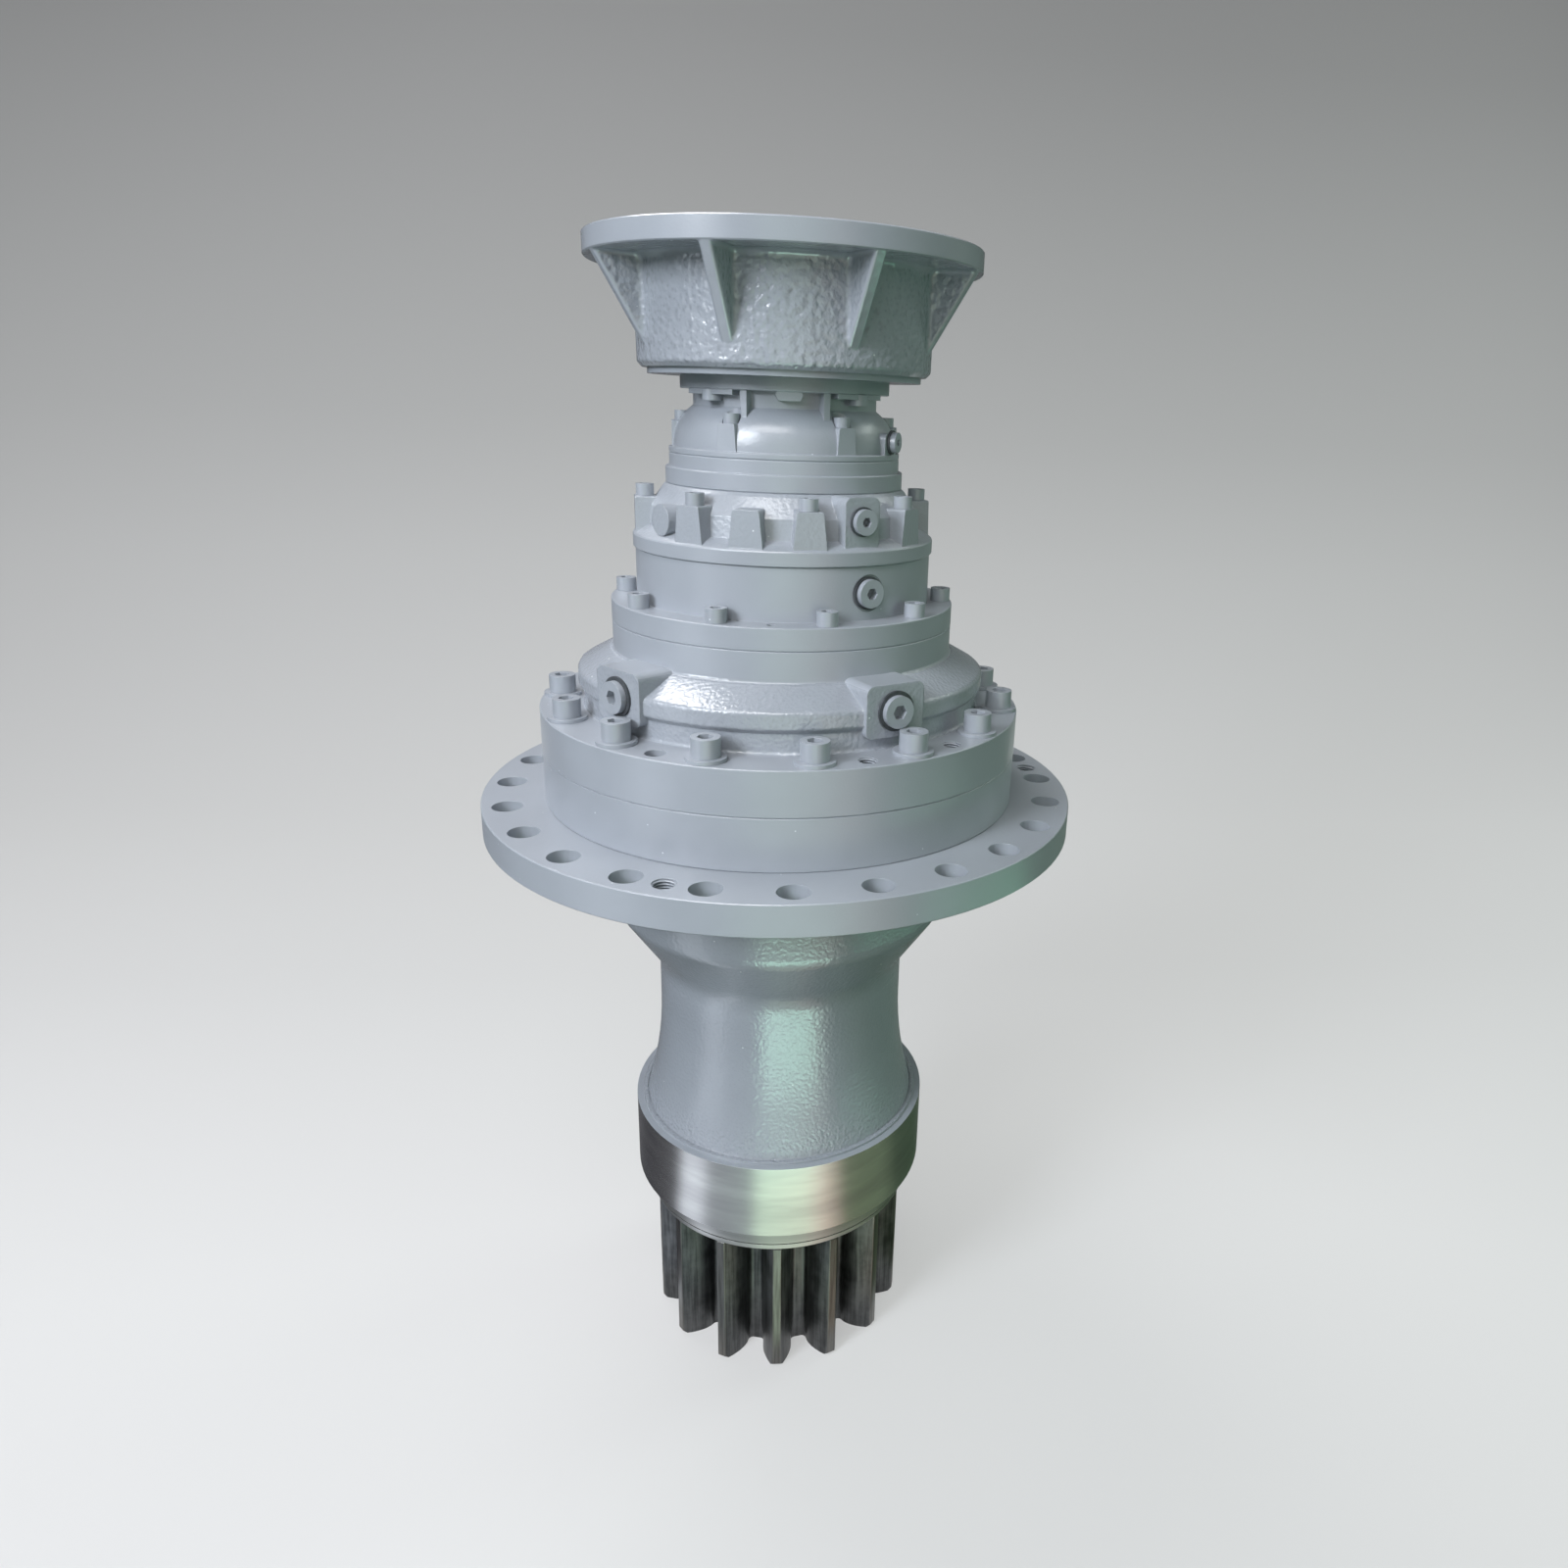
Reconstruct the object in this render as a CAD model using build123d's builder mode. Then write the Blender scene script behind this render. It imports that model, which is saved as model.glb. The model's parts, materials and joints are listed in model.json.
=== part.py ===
from build123d import *
import os
from math import acos, atan2, cos, hypot, pi, radians, sin, tan

# Slewing planetary gearbox with three planetary stages above a mounting flange and a pinion shaft below it.
# The origin is at the middle of the mounting flange's underside, with +Z up along the shaft. Sizes are in mm.

# Fits and clearances
running_fit = 0.05
seat_fit = 0.03
pick_tolerance = 0.02
thread_gap = 0.05
bolt_gap = 0.75
head_gap = 1.2
air_gap = 1.5

# Gear teeth: the three stages have the same tooth counts, and so the same ratio
ring_teeth = 45
sun_teeth = 15
pressure_angle = radians(20)
tooth_fill = 0.47
addendum = 1.0
ring_addendum = 0.7
dedendum = 1.25
planet_count = 3

# Stage 3, the output stage, in the lowest ring gear
stage_3_module = 7.0
stage_3_lift = 6.0
stage_3_face = 76.0
stage_3_gap = 4.0
stage_3_lower_disc = 30.0
stage_3_upper_disc = 16.0
stage_3_disc_gap = 7.6
stage_3_pin_r = 24.0
stage_3_post_r = 27.0
bush_wall = 5.0

# Stage 2
stage_2_module = 4.5
stage_2_lift = 20.0
stage_2_face = 38.0
stage_2_gap = 2.0
stage_2_lower_disc = 13.0
stage_2_upper_disc = 12.0
stage_2_disc_gap = 4.0
stage_2_pin_r = 15.0
stage_2_post_r = 16.0

# Stage 1, the input stage
stage_1_module = 3.5
stage_1_lift = 2.0
stage_1_face = 21.7
stage_1_gap = 1.5
stage_1_lower_disc = 10.5
stage_1_upper_disc = 9.0
stage_1_disc_gap = 3.3
stage_1_pin_r = 11.0
stage_1_post_r = 12.0

# Heights of the castings and rings, from the mounting flange up
flange_t = 28.0
ring_3_flange_t = 46.4
cover_flange_t = 39.8
cover_shoulder_h = 35.3
cover_roof_h = 15.5
cover_boss_h = 27.0
ring_2_disc_t = 19.4
ring_2_barrel_h = 45.2
mid_lip_t = 12.2
mid_lug_h = 31.7
mid_neck_h = 11.5
ring_1_step_t = 14.4
ring_1_upper_t = 11.3
input_base_t = 5.3
input_lug_h = 21.7
input_dome_h = 13.0
input_neck_h = 13.3
input_flange_t = 11.0
adapter_step_t = 5.0
adapter_body_h = 84.0
adapter_rim_t = 17.4

# Walls and radial steps of the castings, from the teeth outwards
ring_3_wall = 9.75
ring_3_step = 0.3
cover_wall = 8.0
cover_bulge = 4.5
cover_flare_h = 17.3
cover_boss_inset = 0.1
cover_roof_step = 3.4
cover_roof_wall = 9.0
cover_shoulder_fillet = 5.0
cover_root_fillet = 3.0
cover_opening_gap = 8.0
cover_screw_reach = 22.0
cover_edge = 17.8
flange_bolt_reach = 33.7
flange_edge = 22.5
ring_2_wall = 26.8
disc_edge = 23.0
disc_screw_reach = 12.3
ring_2_spigot_h = 6.0
ring_2_spigot_wall = 12.0
mid_lip_step = 2.0
mid_screw_inset = 9.7
mid_pocket_inset = 12.0
mid_lug_inset = 0.5
mid_lip_bevel = 6.5
mid_lip_bevel_h = 4.2
mid_floor_h = 7.2
mid_wall_draft = 2.0
mid_slope_drop = 7.5
mid_neck_step = 3.0
mid_mouth_h = 16.0
ring_1_wall = 22.5
ring_1_step = 3.4
input_screw_reach = 6.9
input_lug_inset = 3.2
input_dome_inset = 4.2
input_cavity_h = 11.3
input_cavity_step = 18.0
input_lip_t = 6.0
input_lip_step = 8.0
input_neck_r = 80.5
input_flange_edge = 11.0
bell_r = 112.0
bell_wall = 15.3
bell_draft = 1.2
adapter_foot_inset = 8.3
adapter_floor_t = 18.0
adapter_rib_t = 10.5
adapter_rib_count = 8
adapter_rib_start = -110.5
adapter_rib_foot_h = 17.0
adapter_rib_root = 4.0
adapter_bevel = 4.0
adapter_cove = 7.0
adapter_bevel_round = 3.0
adapter_rib_root_round = 4.0
adapter_rib_edge_round = 2.5
rim_chamfer = 1.0
edge_break = 0.8

# Interface to the motor: flange with a 250 spigot and four M16 holes on a 300 circle, shaft 42 x 110
motor_spigot_r = 125.0
motor_spigot_depth = 5.4
motor_bolt_r = 150.0
motor_bolt_hole_r = 8.0
motor_bolt_depth = 14.0
motor_bolt_count = 4
motor_rim_edge = 18.3
motor_shaft_r = 21.0
motor_key_w = 12.0
motor_key_h = 3.3

# Mounting flange: M24 clearance holes and three tapped holes for jacking screws
flange_hole_r = 13.5
flange_hole_count = 24
flange_hole_start = -88.0
jack_hole_r = 10.0
jack_hole_count = 3
jack_hole_start = -110.5

# Output housing below the flange
housing_cavity_depth = 8.0
cavity_gap = 6.0
hub_wall = 13.0
hub_h = 90.0
cone_h = 60.0
neck_wall = 18.0
neck_bore_r = 105.5
neck_straight_h = 50.0
neck_flare = 17.0
collar_top = 313.7
collar_lip_w = 6.6
collar_lip_h = 2.2
collar_wall = 21.6
collar_h = 79.5
collar_chamfer = 1.5
hub_fillet = 20.0
neck_fillet = 45.0
flange_fillet = 8.0

# Rolling bearings of the pinion shaft and of the input shaft
upper_bearing_bore_r = 65.0
upper_bearing_r = 115.0
upper_bearing_w = 64.0
upper_bearing_depth = 20.0
lower_bearing_bore_r = 85.0
lower_bearing_r = 130.0
lower_bearing_w = 67.0
big_race_t = 13.0
input_bearing_bore_r = 27.5
input_bearing_r = 50.0
input_bearing_w = 21.0
input_bearing_lift = 26.3
small_race_t = 6.5
roller_spacing = 1.25
cage_t_share = 0.35
cage_rim = 4.0
cage_inset = 1.0
pocket_gap = 0.4

# Pinion shaft
pinion_teeth = 14
pinion_module = 16.0
pinion_shift = 0.28
pinion_tip_r = 132.5
pinion_root_r = 96.5
pinion_face = 154.0
pinion_gap = 5.0
pinion_phase = -91.0
pinion_root_fillet = 5.0
pinion_tip_chamfer = 3.5
cut_reach = 1.0
pinion_flank_points = 4
root_tolerance = 0.01
centre_hole_r = 12.0
centre_hole_l = 25.0
seal_journal_r = 95.0
shaft_body_r = 80.0
shaft_shoulder = 7.0
shaft_step_h = 12.0
spline_teeth = 18
spline_module = 6.4
nut_r = 74.0
nut_t = 13.0
nut_thread_r = 50.0
nut_slots = 6
nut_slot_w = 12.0
nut_slot_d = 6.0
nut_recess = 4.0
shaft_end_inset = 1.0
spline_gap = 0.1
carrier_3_hub_r = 78.0
carrier_opening_gap = 2.5

# Shaft seals and the seal carrier under the collar
seal_carrier_t = 25.5
seal_carrier_top_r = 147.8
seal_carrier_foot_r = 139.3
seal_carrier_spigot_h = 6.0
seal_carrier_lip_r = 101.0
seal_carrier_groove_w = 1.6
seal_carrier_groove_d = 1.2
seal_carrier_groove_h = 7.0
shaft_seal_r = 113.0
shaft_seal_w = 16.0
input_seal_w = 10.0
seal_leg_share = 0.3
circlip_t = 2.5
circlip_r = 52.0
circlip_w = 5.0
circlip_split = 14.0
circlip_split_l = 15.0

# Shafts between the stages
sun_3_shaft_r = 28.0
sun_2_shaft_r = 17.5
sun_spline_teeth = 12
sun_hub_h = 12.0
sun_hub_wall = 12.0
input_neck_shaft_r = 19.0
input_collar_r = 33.0
input_collar_t = 6.0
input_stub_r = 22.0
input_stub_h = 11.5
sleeve_r = 34.0
sleeve_top_inset = 8.0

# Screws: nominal radius, head radius, head height and socket, with the angle of the first one
m16_r = 8.0
m16_head_r = 12.0
m16_head_h = 16.0
m12_r = 6.0
m12_head_r = 9.0
m12_head_h = 12.0
m10_r = 5.0
m10_head_r = 7.8
m10_head_h = 10.0
m8_r = 4.0
m8_head_r = 6.9
m8_head_h = 8.0
socket_share = 0.58
socket_depth_share = 0.55
cover_screw_count = 15
cover_screw_start = -83.0
cover_screw_grip = 20.0
washer_r = 17.0
washer_t = 3.0
disc_screw_count = 10
disc_screw_start = -76.0
disc_screw_grip = 24.0
mid_screw_count = 8
mid_screw_start = -81.0
mid_screw_grip = 18.0
input_screw_count = 6
input_screw_start = -59.0
input_screw_grip = 9.0
adapter_screw_count = 4
adapter_screw_start = -135.0
adapter_screw_r = 72.0
adapter_screw_grip = 12.0

# Lugs that carry the screw heads, with their feet wider than their tops
mid_lug_top_w = 22.0
mid_lug_foot_w = 29.0
mid_empty_lug_angle = -103.5
input_lug_top_w = 15.5
input_lug_foot_w = 19.0
lug_root_depth = 26.0
lug_edge_round = 2.0
root_overlap = 1.0

# Extra tapped and plain holes in the cover flange
cover_plain_angle = -119.0
cover_tapped_angles = (-71.0, -47.0)
cover_extra_reach = 24.0
cover_extra_hole_r = 8.75
cover_tapped_r = 8.0
cover_extra_depth = 26.0
disc_tapped_angle = -94.0
disc_tapped_r = 4.0
disc_tapped_depth = 14.0
disc_tapped_inset = 2.0

# Screw plugs: angle, height above the foot of the casting, boss and plug sizes
cover_plug_angles = (-135.5, -61.3)
cover_plug_h = 33.1
cover_plug_boss_w = 56.0
cover_plug_boss_h = 45.0
cover_plug_boss_proud = 1.5
cover_plug_boss_fillet = 7.0
cover_plug_boss_l = 36.0
large_plug_r = 10.5
large_plug_head_r = 13.7
large_plug_seal_r = 17.0
level_plug_angle = -58.3
level_plug_h = 22.6
level_plug_r = 8.3
level_plug_head_r = 12.0
level_plug_seal_r = 14.0
mid_plug_angle = -61.0
mid_plug_h = 35.9
mid_plug_boss_w = 33.0
mid_plug_boss_fillet = 6.0
mid_plug_face_inset = 2.7
mid_plug_r = 7.0
mid_plug_head_r = 10.5
mid_plug_seal_r = 12.0
input_plug_angle = -26.0
input_plug_h = 15.6
input_plug_boss_w = 26.0
input_plug_boss_h = 23.0
input_plug_boss_fillet = 5.0
input_plug_face_inset = 1.2
input_plug_r = 5.0
input_plug_head_r = 8.5
input_plug_seal_r = 10.0
plug_head_t = 5.0
plug_seal_t = 2.0
plug_shank_l = 11.0
plug_bore_l = 45.0
plug_socket_share = 0.62
spot_face_depth = 1.4
blank_boss_angle = -142.0
blank_boss_r = 13.0
blank_boss_h = 29.0
blank_boss_inset = 2.7

# Ribs, tab and screw bosses under the input housing's upper flange
neck_rib_angles = (-112.5, -67.5, 67.5, 112.5)
neck_rib_t = 6.0
neck_rib_reach = 8.5
neck_tab_angle = -88.0
neck_tab_w = 25.0
neck_tab_drop = 7.0
neck_pad_sweep = 34.0
neck_pad_drop = 4.0
neck_boss_r = 8.5
neck_boss_drop = 9.0
neck_boss_reach = 4.5


def step_up(start, *heights):
    """Levels reached by stacking heights on a start level."""
    levels = [start]
    for height in heights:
        levels.append(levels[-1] + height)
    return levels


class Stage:
    """One planetary stage: radii of its gears and carrier, and the levels of its pieces."""

    def __init__(self, module, bottom, face, gap, discs, disc_gap, pin_r, post_r):
        self.module = module
        self.bottom = bottom
        self.face = face
        self.top = bottom + face
        self.pin_r = pin_r
        self.post_r = post_r
        self.ring_pitch_r = ring_teeth * module / 2
        self.ring_tip_r = self.ring_pitch_r - ring_addendum * module
        self.ring_root_r = self.ring_pitch_r + dedendum * module
        self.sun_tip_r = (sun_teeth / 2 + addendum) * module
        self.sun_root_r = (sun_teeth / 2 - dedendum) * module
        self.planet_tip_r = (planet_teeth / 2 + addendum) * module
        self.planet_root_r = (planet_teeth / 2 - dedendum) * module
        self.centre_r = (sun_teeth + planet_teeth) * module / 2
        self.disc_r = self.ring_tip_r - disc_gap
        self.lower_top = bottom - gap
        self.lower_bottom = self.lower_top - discs[0]
        self.upper_bottom = self.top + gap
        self.upper_top = self.upper_bottom + discs[1]
        self.post_centre_r = self.disc_r - post_r - air_gap


# Levels of the joint faces between the castings
planet_teeth = (ring_teeth - sun_teeth) // 2
(ring_3_z, cover_z, cover_top_z, cover_shoulder_z, cover_roof_z, ring_2_z, disc_top_z, mid_z) = step_up(
    flange_t,
    ring_3_flange_t,
    cover_flange_t,
    cover_shoulder_h,
    cover_roof_h,
    cover_boss_h,
    ring_2_disc_t,
    ring_2_barrel_h,
)
(_, mid_lip_z, mid_lug_z, ring_1_z, ring_1_step_z, input_z) = step_up(
    mid_z, mid_lip_t, mid_lug_h, mid_neck_h, ring_1_step_t, ring_1_upper_t
)
(_, input_base_z, input_lug_z, input_dome_z, input_flange_z, adapter_z) = step_up(
    input_z, input_base_t, input_lug_h, input_dome_h, input_neck_h, input_flange_t
)
(_, adapter_body_z, adapter_rim_z, adapter_top_z) = step_up(
    adapter_z, adapter_step_t, adapter_body_h, adapter_rim_t
)

# The stages
stage_3 = Stage(
    stage_3_module,
    ring_3_z + stage_3_lift,
    stage_3_face,
    stage_3_gap,
    (stage_3_lower_disc, stage_3_upper_disc),
    stage_3_disc_gap,
    stage_3_pin_r,
    stage_3_post_r,
)
stage_2 = Stage(
    stage_2_module,
    ring_2_z + stage_2_lift,
    stage_2_face,
    stage_2_gap,
    (stage_2_lower_disc, stage_2_upper_disc),
    stage_2_disc_gap,
    stage_2_pin_r,
    stage_2_post_r,
)
stage_1 = Stage(
    stage_1_module,
    ring_1_z + stage_1_lift,
    stage_1_face,
    stage_1_gap,
    (stage_1_lower_disc, stage_1_upper_disc),
    stage_1_disc_gap,
    stage_1_pin_r,
    stage_1_post_r,
)

# Radii that follow from the teeth outwards
ring_3_barrel_r = stage_3.ring_root_r + ring_3_wall
ring_3_barrel_top = stage_3.top + stage_3_gap
cover_bore_r = ring_3_barrel_r + seat_fit
cover_r = cover_bore_r + cover_wall
cover_bulge_r = cover_r + cover_bulge
cover_screw_r = cover_r + cover_screw_reach
cover_flange_r = cover_screw_r + cover_edge
flange_bolt_r = cover_flange_r + flange_bolt_reach
flange_r = flange_bolt_r + flange_edge
ring_2_r = stage_2.ring_root_r + ring_2_wall
disc_r = ring_2_r + disc_edge
disc_screw_r = ring_2_r + disc_screw_reach
mid_lip_r = ring_2_r + mid_lip_step
mid_screw_r = ring_2_r - mid_screw_inset
mid_wall_r = ring_2_r - mid_pocket_inset
ring_1_r = stage_1.ring_root_r + ring_1_wall
ring_1_upper_r = ring_1_r - ring_1_step
input_screw_r = stage_1.ring_root_r + input_screw_reach
input_lug_r = ring_1_upper_r - input_lug_inset
input_flange_r = input_neck_r + input_flange_edge
bell_outer_r = bell_r + bell_wall
motor_rim_r = motor_bolt_r + motor_rim_edge

# Levels and radii of the output housing
cavity_r = stage_3.disc_r + cavity_gap
hub_r = cavity_r + hub_wall
neck_r = neck_bore_r + neck_wall
flare_r = neck_r + neck_flare
collar_r = lower_bearing_r + collar_wall
housing_foot_z = -collar_top - collar_h
upper_bearing_z = -upper_bearing_depth - upper_bearing_w
lower_bearing_z = housing_foot_z + seal_carrier_spigot_h
pinion_top_z = housing_foot_z - seal_carrier_t - pinion_gap
pinion_foot_z = pinion_top_z - pinion_face
shaft_seal_z = housing_foot_z - seal_carrier_t + air_gap
input_bearing_z = input_z + input_bearing_lift
sleeve_z = input_bearing_z + input_bearing_w + air_gap
sleeve_top_z = adapter_top_z - sleeve_top_inset
circlip_z = input_bearing_z + input_bearing_w + thread_gap
input_seal_z = circlip_z + circlip_t + thread_gap
nut_z = stage_3.lower_top - nut_recess - nut_t
shaft_top_z = nut_z + nut_t - shaft_end_inset
carrier_3_hub_z = -upper_bearing_depth

# Openings and seats that follow the carriers, and the seats of the screw plugs
cover_opening_r = stage_2.disc_r + cover_opening_gap
ring_2_spigot_r = cover_opening_r + ring_2_spigot_wall
mid_cavity_r = stage_2.disc_r + cavity_gap
mid_mouth_r = stage_1.disc_r + cavity_gap
mid_lug_r = ring_2_r - mid_lug_inset
cover_plug_face_r = cover_bulge_r + cover_plug_boss_proud
cover_plug_z = cover_top_z + cover_plug_h
level_plug_seat_r = ring_2_r - spot_face_depth
level_plug_z = disc_top_z + level_plug_h
mid_plug_face_r = ring_2_r - mid_plug_face_inset
mid_plug_z = mid_z + mid_plug_h
input_plug_face_r = ring_1_upper_r - input_plug_face_inset
input_plug_z = input_z + input_plug_h
blank_boss_face_r = ring_2_r - blank_boss_inset


def half_section(*corners, broken=()):
    """A closed half section through the axis, from its (radius, height) corners, some of them broken."""
    with BuildSketch(Plane.XZ) as section:
        with BuildLine():
            Polyline(*corners, close=True)
        make_face()
        if broken:
            chamfer([corner(section, *place) for place in broken], edge_break)
    return section.sketch


def corner(sketch, radius, height):
    """The corner of a half section nearest to a radius and a height."""
    return sketch.vertices().sort_by_distance((radius, height, 0))[0]


def ring_section(inner_r, outer_r, bottom, top, broken=False):
    """The half section of a plain ring, its outer edges sharp or broken."""
    edges = ((outer_r, bottom), (outer_r, top))
    return half_section((inner_r, bottom), *edges, (inner_r, top), broken=edges if broken else ())


def radial_plane(angle):
    """The plane through the axis at an angle, with x outwards and y up."""
    across, along = cos(radians(angle)), sin(radians(angle))
    return Plane(origin=(0, 0, 0), x_dir=(across, along, 0), z_dir=(along, -across, 0))


def arc_section(angle, inner_r, outer_r, bottom, top):
    """A ring's half section in the plane at an angle."""
    with BuildSketch(radial_plane(angle)) as section:
        with BuildLine():
            Polyline((inner_r, bottom), (outer_r, bottom), (outer_r, top), (inner_r, top), close=True)
        make_face()
    return section.sketch


def facing_out(angle, radius, height):
    """A plane that looks out from the axis, with x along the rim and y up."""
    across, along = cos(radians(angle)), sin(radians(angle))
    return Plane(
        origin=(radius * across, radius * along, height),
        x_dir=(-along, across, 0),
        z_dir=(across, along, 0),
    )


def disc_on(plane, radius):
    """A round profile on a plane."""
    with BuildSketch(plane) as profile:
        Circle(radius)
    return profile.sketch


def hole_ring(level, hole_r, circle_r, count, start):
    """Round profiles spaced evenly on a circle about the axis."""
    with BuildSketch(Plane.XY.offset(level)) as profile:
        with PolarLocations(circle_r, count, start_angle=start):
            Circle(hole_r)
    return profile.sketch


def hole_at(level, hole_r, circle_r, angle):
    """One round profile at an angle on a circle about the axis."""
    return hole_ring(level, hole_r, circle_r, 1, angle)


def involute(angle):
    """The involute function."""
    return tan(angle) - angle


def half_tooth(radius, teeth, module, thickness):
    """Half the angle that a tooth fills at a radius, from its thickness on the pitch circle."""
    pitch_r = teeth * module / 2
    base_r = pitch_r * cos(pressure_angle)
    slope = acos(base_r / max(radius, base_r))
    return thickness / (2 * pitch_r) + involute(pressure_angle) - involute(slope)


def toothed_disc(level, teeth, module, fill, inner_r, outer_r, circle_r=0, turn=0):
    """A toothed outline with chords for flanks, turned about the axis, its first tooth facing out."""
    base_r = teeth * module / 2 * cos(pressure_angle)
    thickness = fill * pi * module
    flank_foot_r = max(inner_r, base_r)
    radii = sorted({inner_r, flank_foot_r, (flank_foot_r + outer_r) / 2, outer_r})
    start = radians(turn)
    centre_x = circle_r * cos(start)
    centre_y = circle_r * sin(start)
    corners = []
    for tooth in range(teeth):
        middle = start + 2 * pi * tooth / teeth
        for side, climb in ((-1, radii), (1, radii[::-1])):
            for radius in climb:
                angle = middle + side * half_tooth(radius, teeth, module, thickness)
                corners.append((centre_x + radius * cos(angle), centre_y + radius * sin(angle)))
    with BuildSketch(Plane.XY.offset(level)) as profile:
        with BuildLine():
            Polyline(*corners, close=True)
        make_face()
    return profile.sketch


def ring_teeth_space(stage, level):
    """The opening inside a ring gear's teeth."""
    fill = 1 - tooth_fill
    return toothed_disc(level, ring_teeth, stage.module, fill, stage.ring_tip_r, stage.ring_root_r)


def spline_profile(level, teeth, module, gap):
    """A shaft spline's outline, or its hub's with a gap."""
    pitch_r = teeth * module / 2
    fill = tooth_fill + gap / module
    return toothed_disc(level, teeth, module, fill, pitch_r - module / 2 + gap, pitch_r + module / 2 + gap)


def lug_profile(angle, face_r, foot_z, top_z, foot_w, top_w):
    """The face of a cast lug, wider at its foot."""
    with BuildSketch(facing_out(angle, face_r, foot_z)) as profile:
        with BuildLine():
            Polyline(
                (-foot_w / 2, 0),
                (foot_w / 2, 0),
                (top_w / 2, top_z - foot_z),
                (-top_w / 2, top_z - foot_z),
                close=True,
            )
        make_face()
        fillet([corner(profile, side * top_w / 2, top_z - foot_z) for side in (-1, 1)], lug_edge_round)
    return profile.sketch


def boss_profile(angle, face_r, middle_z, width, height, corner_r):
    """The face of a cast boss with round corners."""
    with BuildSketch(facing_out(angle, face_r, middle_z)) as profile:
        RectangleRounded(width, height, corner_r)
    return profile.sketch


def radial_wedge(angle, thickness, *corners):
    """A rib's outline in the plane through the axis at an angle, moved half its thickness aside."""
    with BuildSketch(radial_plane(angle).offset(-thickness / 2)) as profile:
        with BuildLine():
            Polyline(*corners, close=True)
        make_face()
    return profile.sketch


def make_output_housing():
    """The lower casting: mounting flange, hub, flared neck and the machined collar."""
    cone_foot_z = -hub_h - cone_h
    flare_start_z = cone_foot_z - neck_straight_h
    lip_r = collar_r - collar_lip_w
    with BuildSketch(Plane.XZ) as outside:
        with BuildLine():
            Polyline(
                (0, flange_t),
                (flange_r, flange_t),
                (flange_r, 0),
                (hub_r, 0),
                (hub_r, -hub_h),
                (neck_r, cone_foot_z),
                (neck_r, flare_start_z),
            )
            TangentArc((neck_r, flare_start_z), (flare_r, -collar_top), tangent=(0, -1))
            Polyline(
                (flare_r, -collar_top),
                (flare_r, -collar_top + collar_lip_h),
                (lip_r, -collar_top + collar_lip_h),
                (lip_r, -collar_top),
                (collar_r, -collar_top),
                (collar_r, housing_foot_z + collar_chamfer),
                (collar_r - collar_chamfer, housing_foot_z),
                (0, housing_foot_z),
                (0, flange_t),
            )
        make_face()
        fillet(corner(outside, hub_r, -hub_h), hub_fillet)
        fillet(corner(outside, neck_r, cone_foot_z), neck_fillet)
        fillet(corner(outside, hub_r, 0), flange_fillet)
        chamfer([corner(outside, flange_r, level) for level in (0, flange_t)], edge_break)
    inside = half_section(
        (0, housing_foot_z),
        (lower_bearing_r + seat_fit, housing_foot_z),
        (lower_bearing_r + seat_fit, lower_bearing_z + lower_bearing_w),
        (neck_bore_r, lower_bearing_z + lower_bearing_w),
        (neck_bore_r, upper_bearing_z),
        (upper_bearing_r + seat_fit, upper_bearing_z),
        (upper_bearing_r + seat_fit, -housing_cavity_depth),
        (cavity_r, -housing_cavity_depth),
        (cavity_r, flange_t),
        (0, flange_t),
    )
    flange_holes = hole_ring(0, flange_hole_r, flange_bolt_r, flange_hole_count, flange_hole_start)
    jack_holes = hole_ring(0, jack_hole_r, flange_bolt_r, jack_hole_count, jack_hole_start)
    tapped_r = m16_r + thread_gap
    tapped = hole_ring(flange_t, tapped_r, cover_screw_r, cover_screw_count, cover_screw_start)
    with BuildPart() as output_housing:
        revolve(outside.sketch, axis=Axis.Z)
        revolve(inside, axis=Axis.Z, mode=Mode.SUBTRACT)
        extrude(flange_holes, amount=flange_t, mode=Mode.SUBTRACT)
        extrude(jack_holes, amount=flange_t, mode=Mode.SUBTRACT)
        extrude(tapped, amount=-cover_screw_grip - air_gap, mode=Mode.SUBTRACT)
    return output_housing


def make_ring_gear_3():
    """The output stage's ring gear: a bolted flange with the toothed barrel reaching into the cover."""
    outer_r = cover_flange_r - ring_3_step
    bolt_holes = hole_ring(ring_3_z, m16_r + bolt_gap, cover_screw_r, cover_screw_count, cover_screw_start)
    with BuildPart() as ring_gear_3:
        revolve(ring_section(0, outer_r, ring_3_z, cover_z, broken=True), axis=Axis.Z)
        revolve(ring_section(0, ring_3_barrel_r, cover_z, ring_3_barrel_top), axis=Axis.Z)
        extrude(ring_teeth_space(stage_3, ring_3_z), amount=ring_3_barrel_top - ring_3_z, mode=Mode.SUBTRACT)
        extrude(bolt_holes, amount=ring_3_flange_t, mode=Mode.SUBTRACT)
    return ring_gear_3


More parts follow.
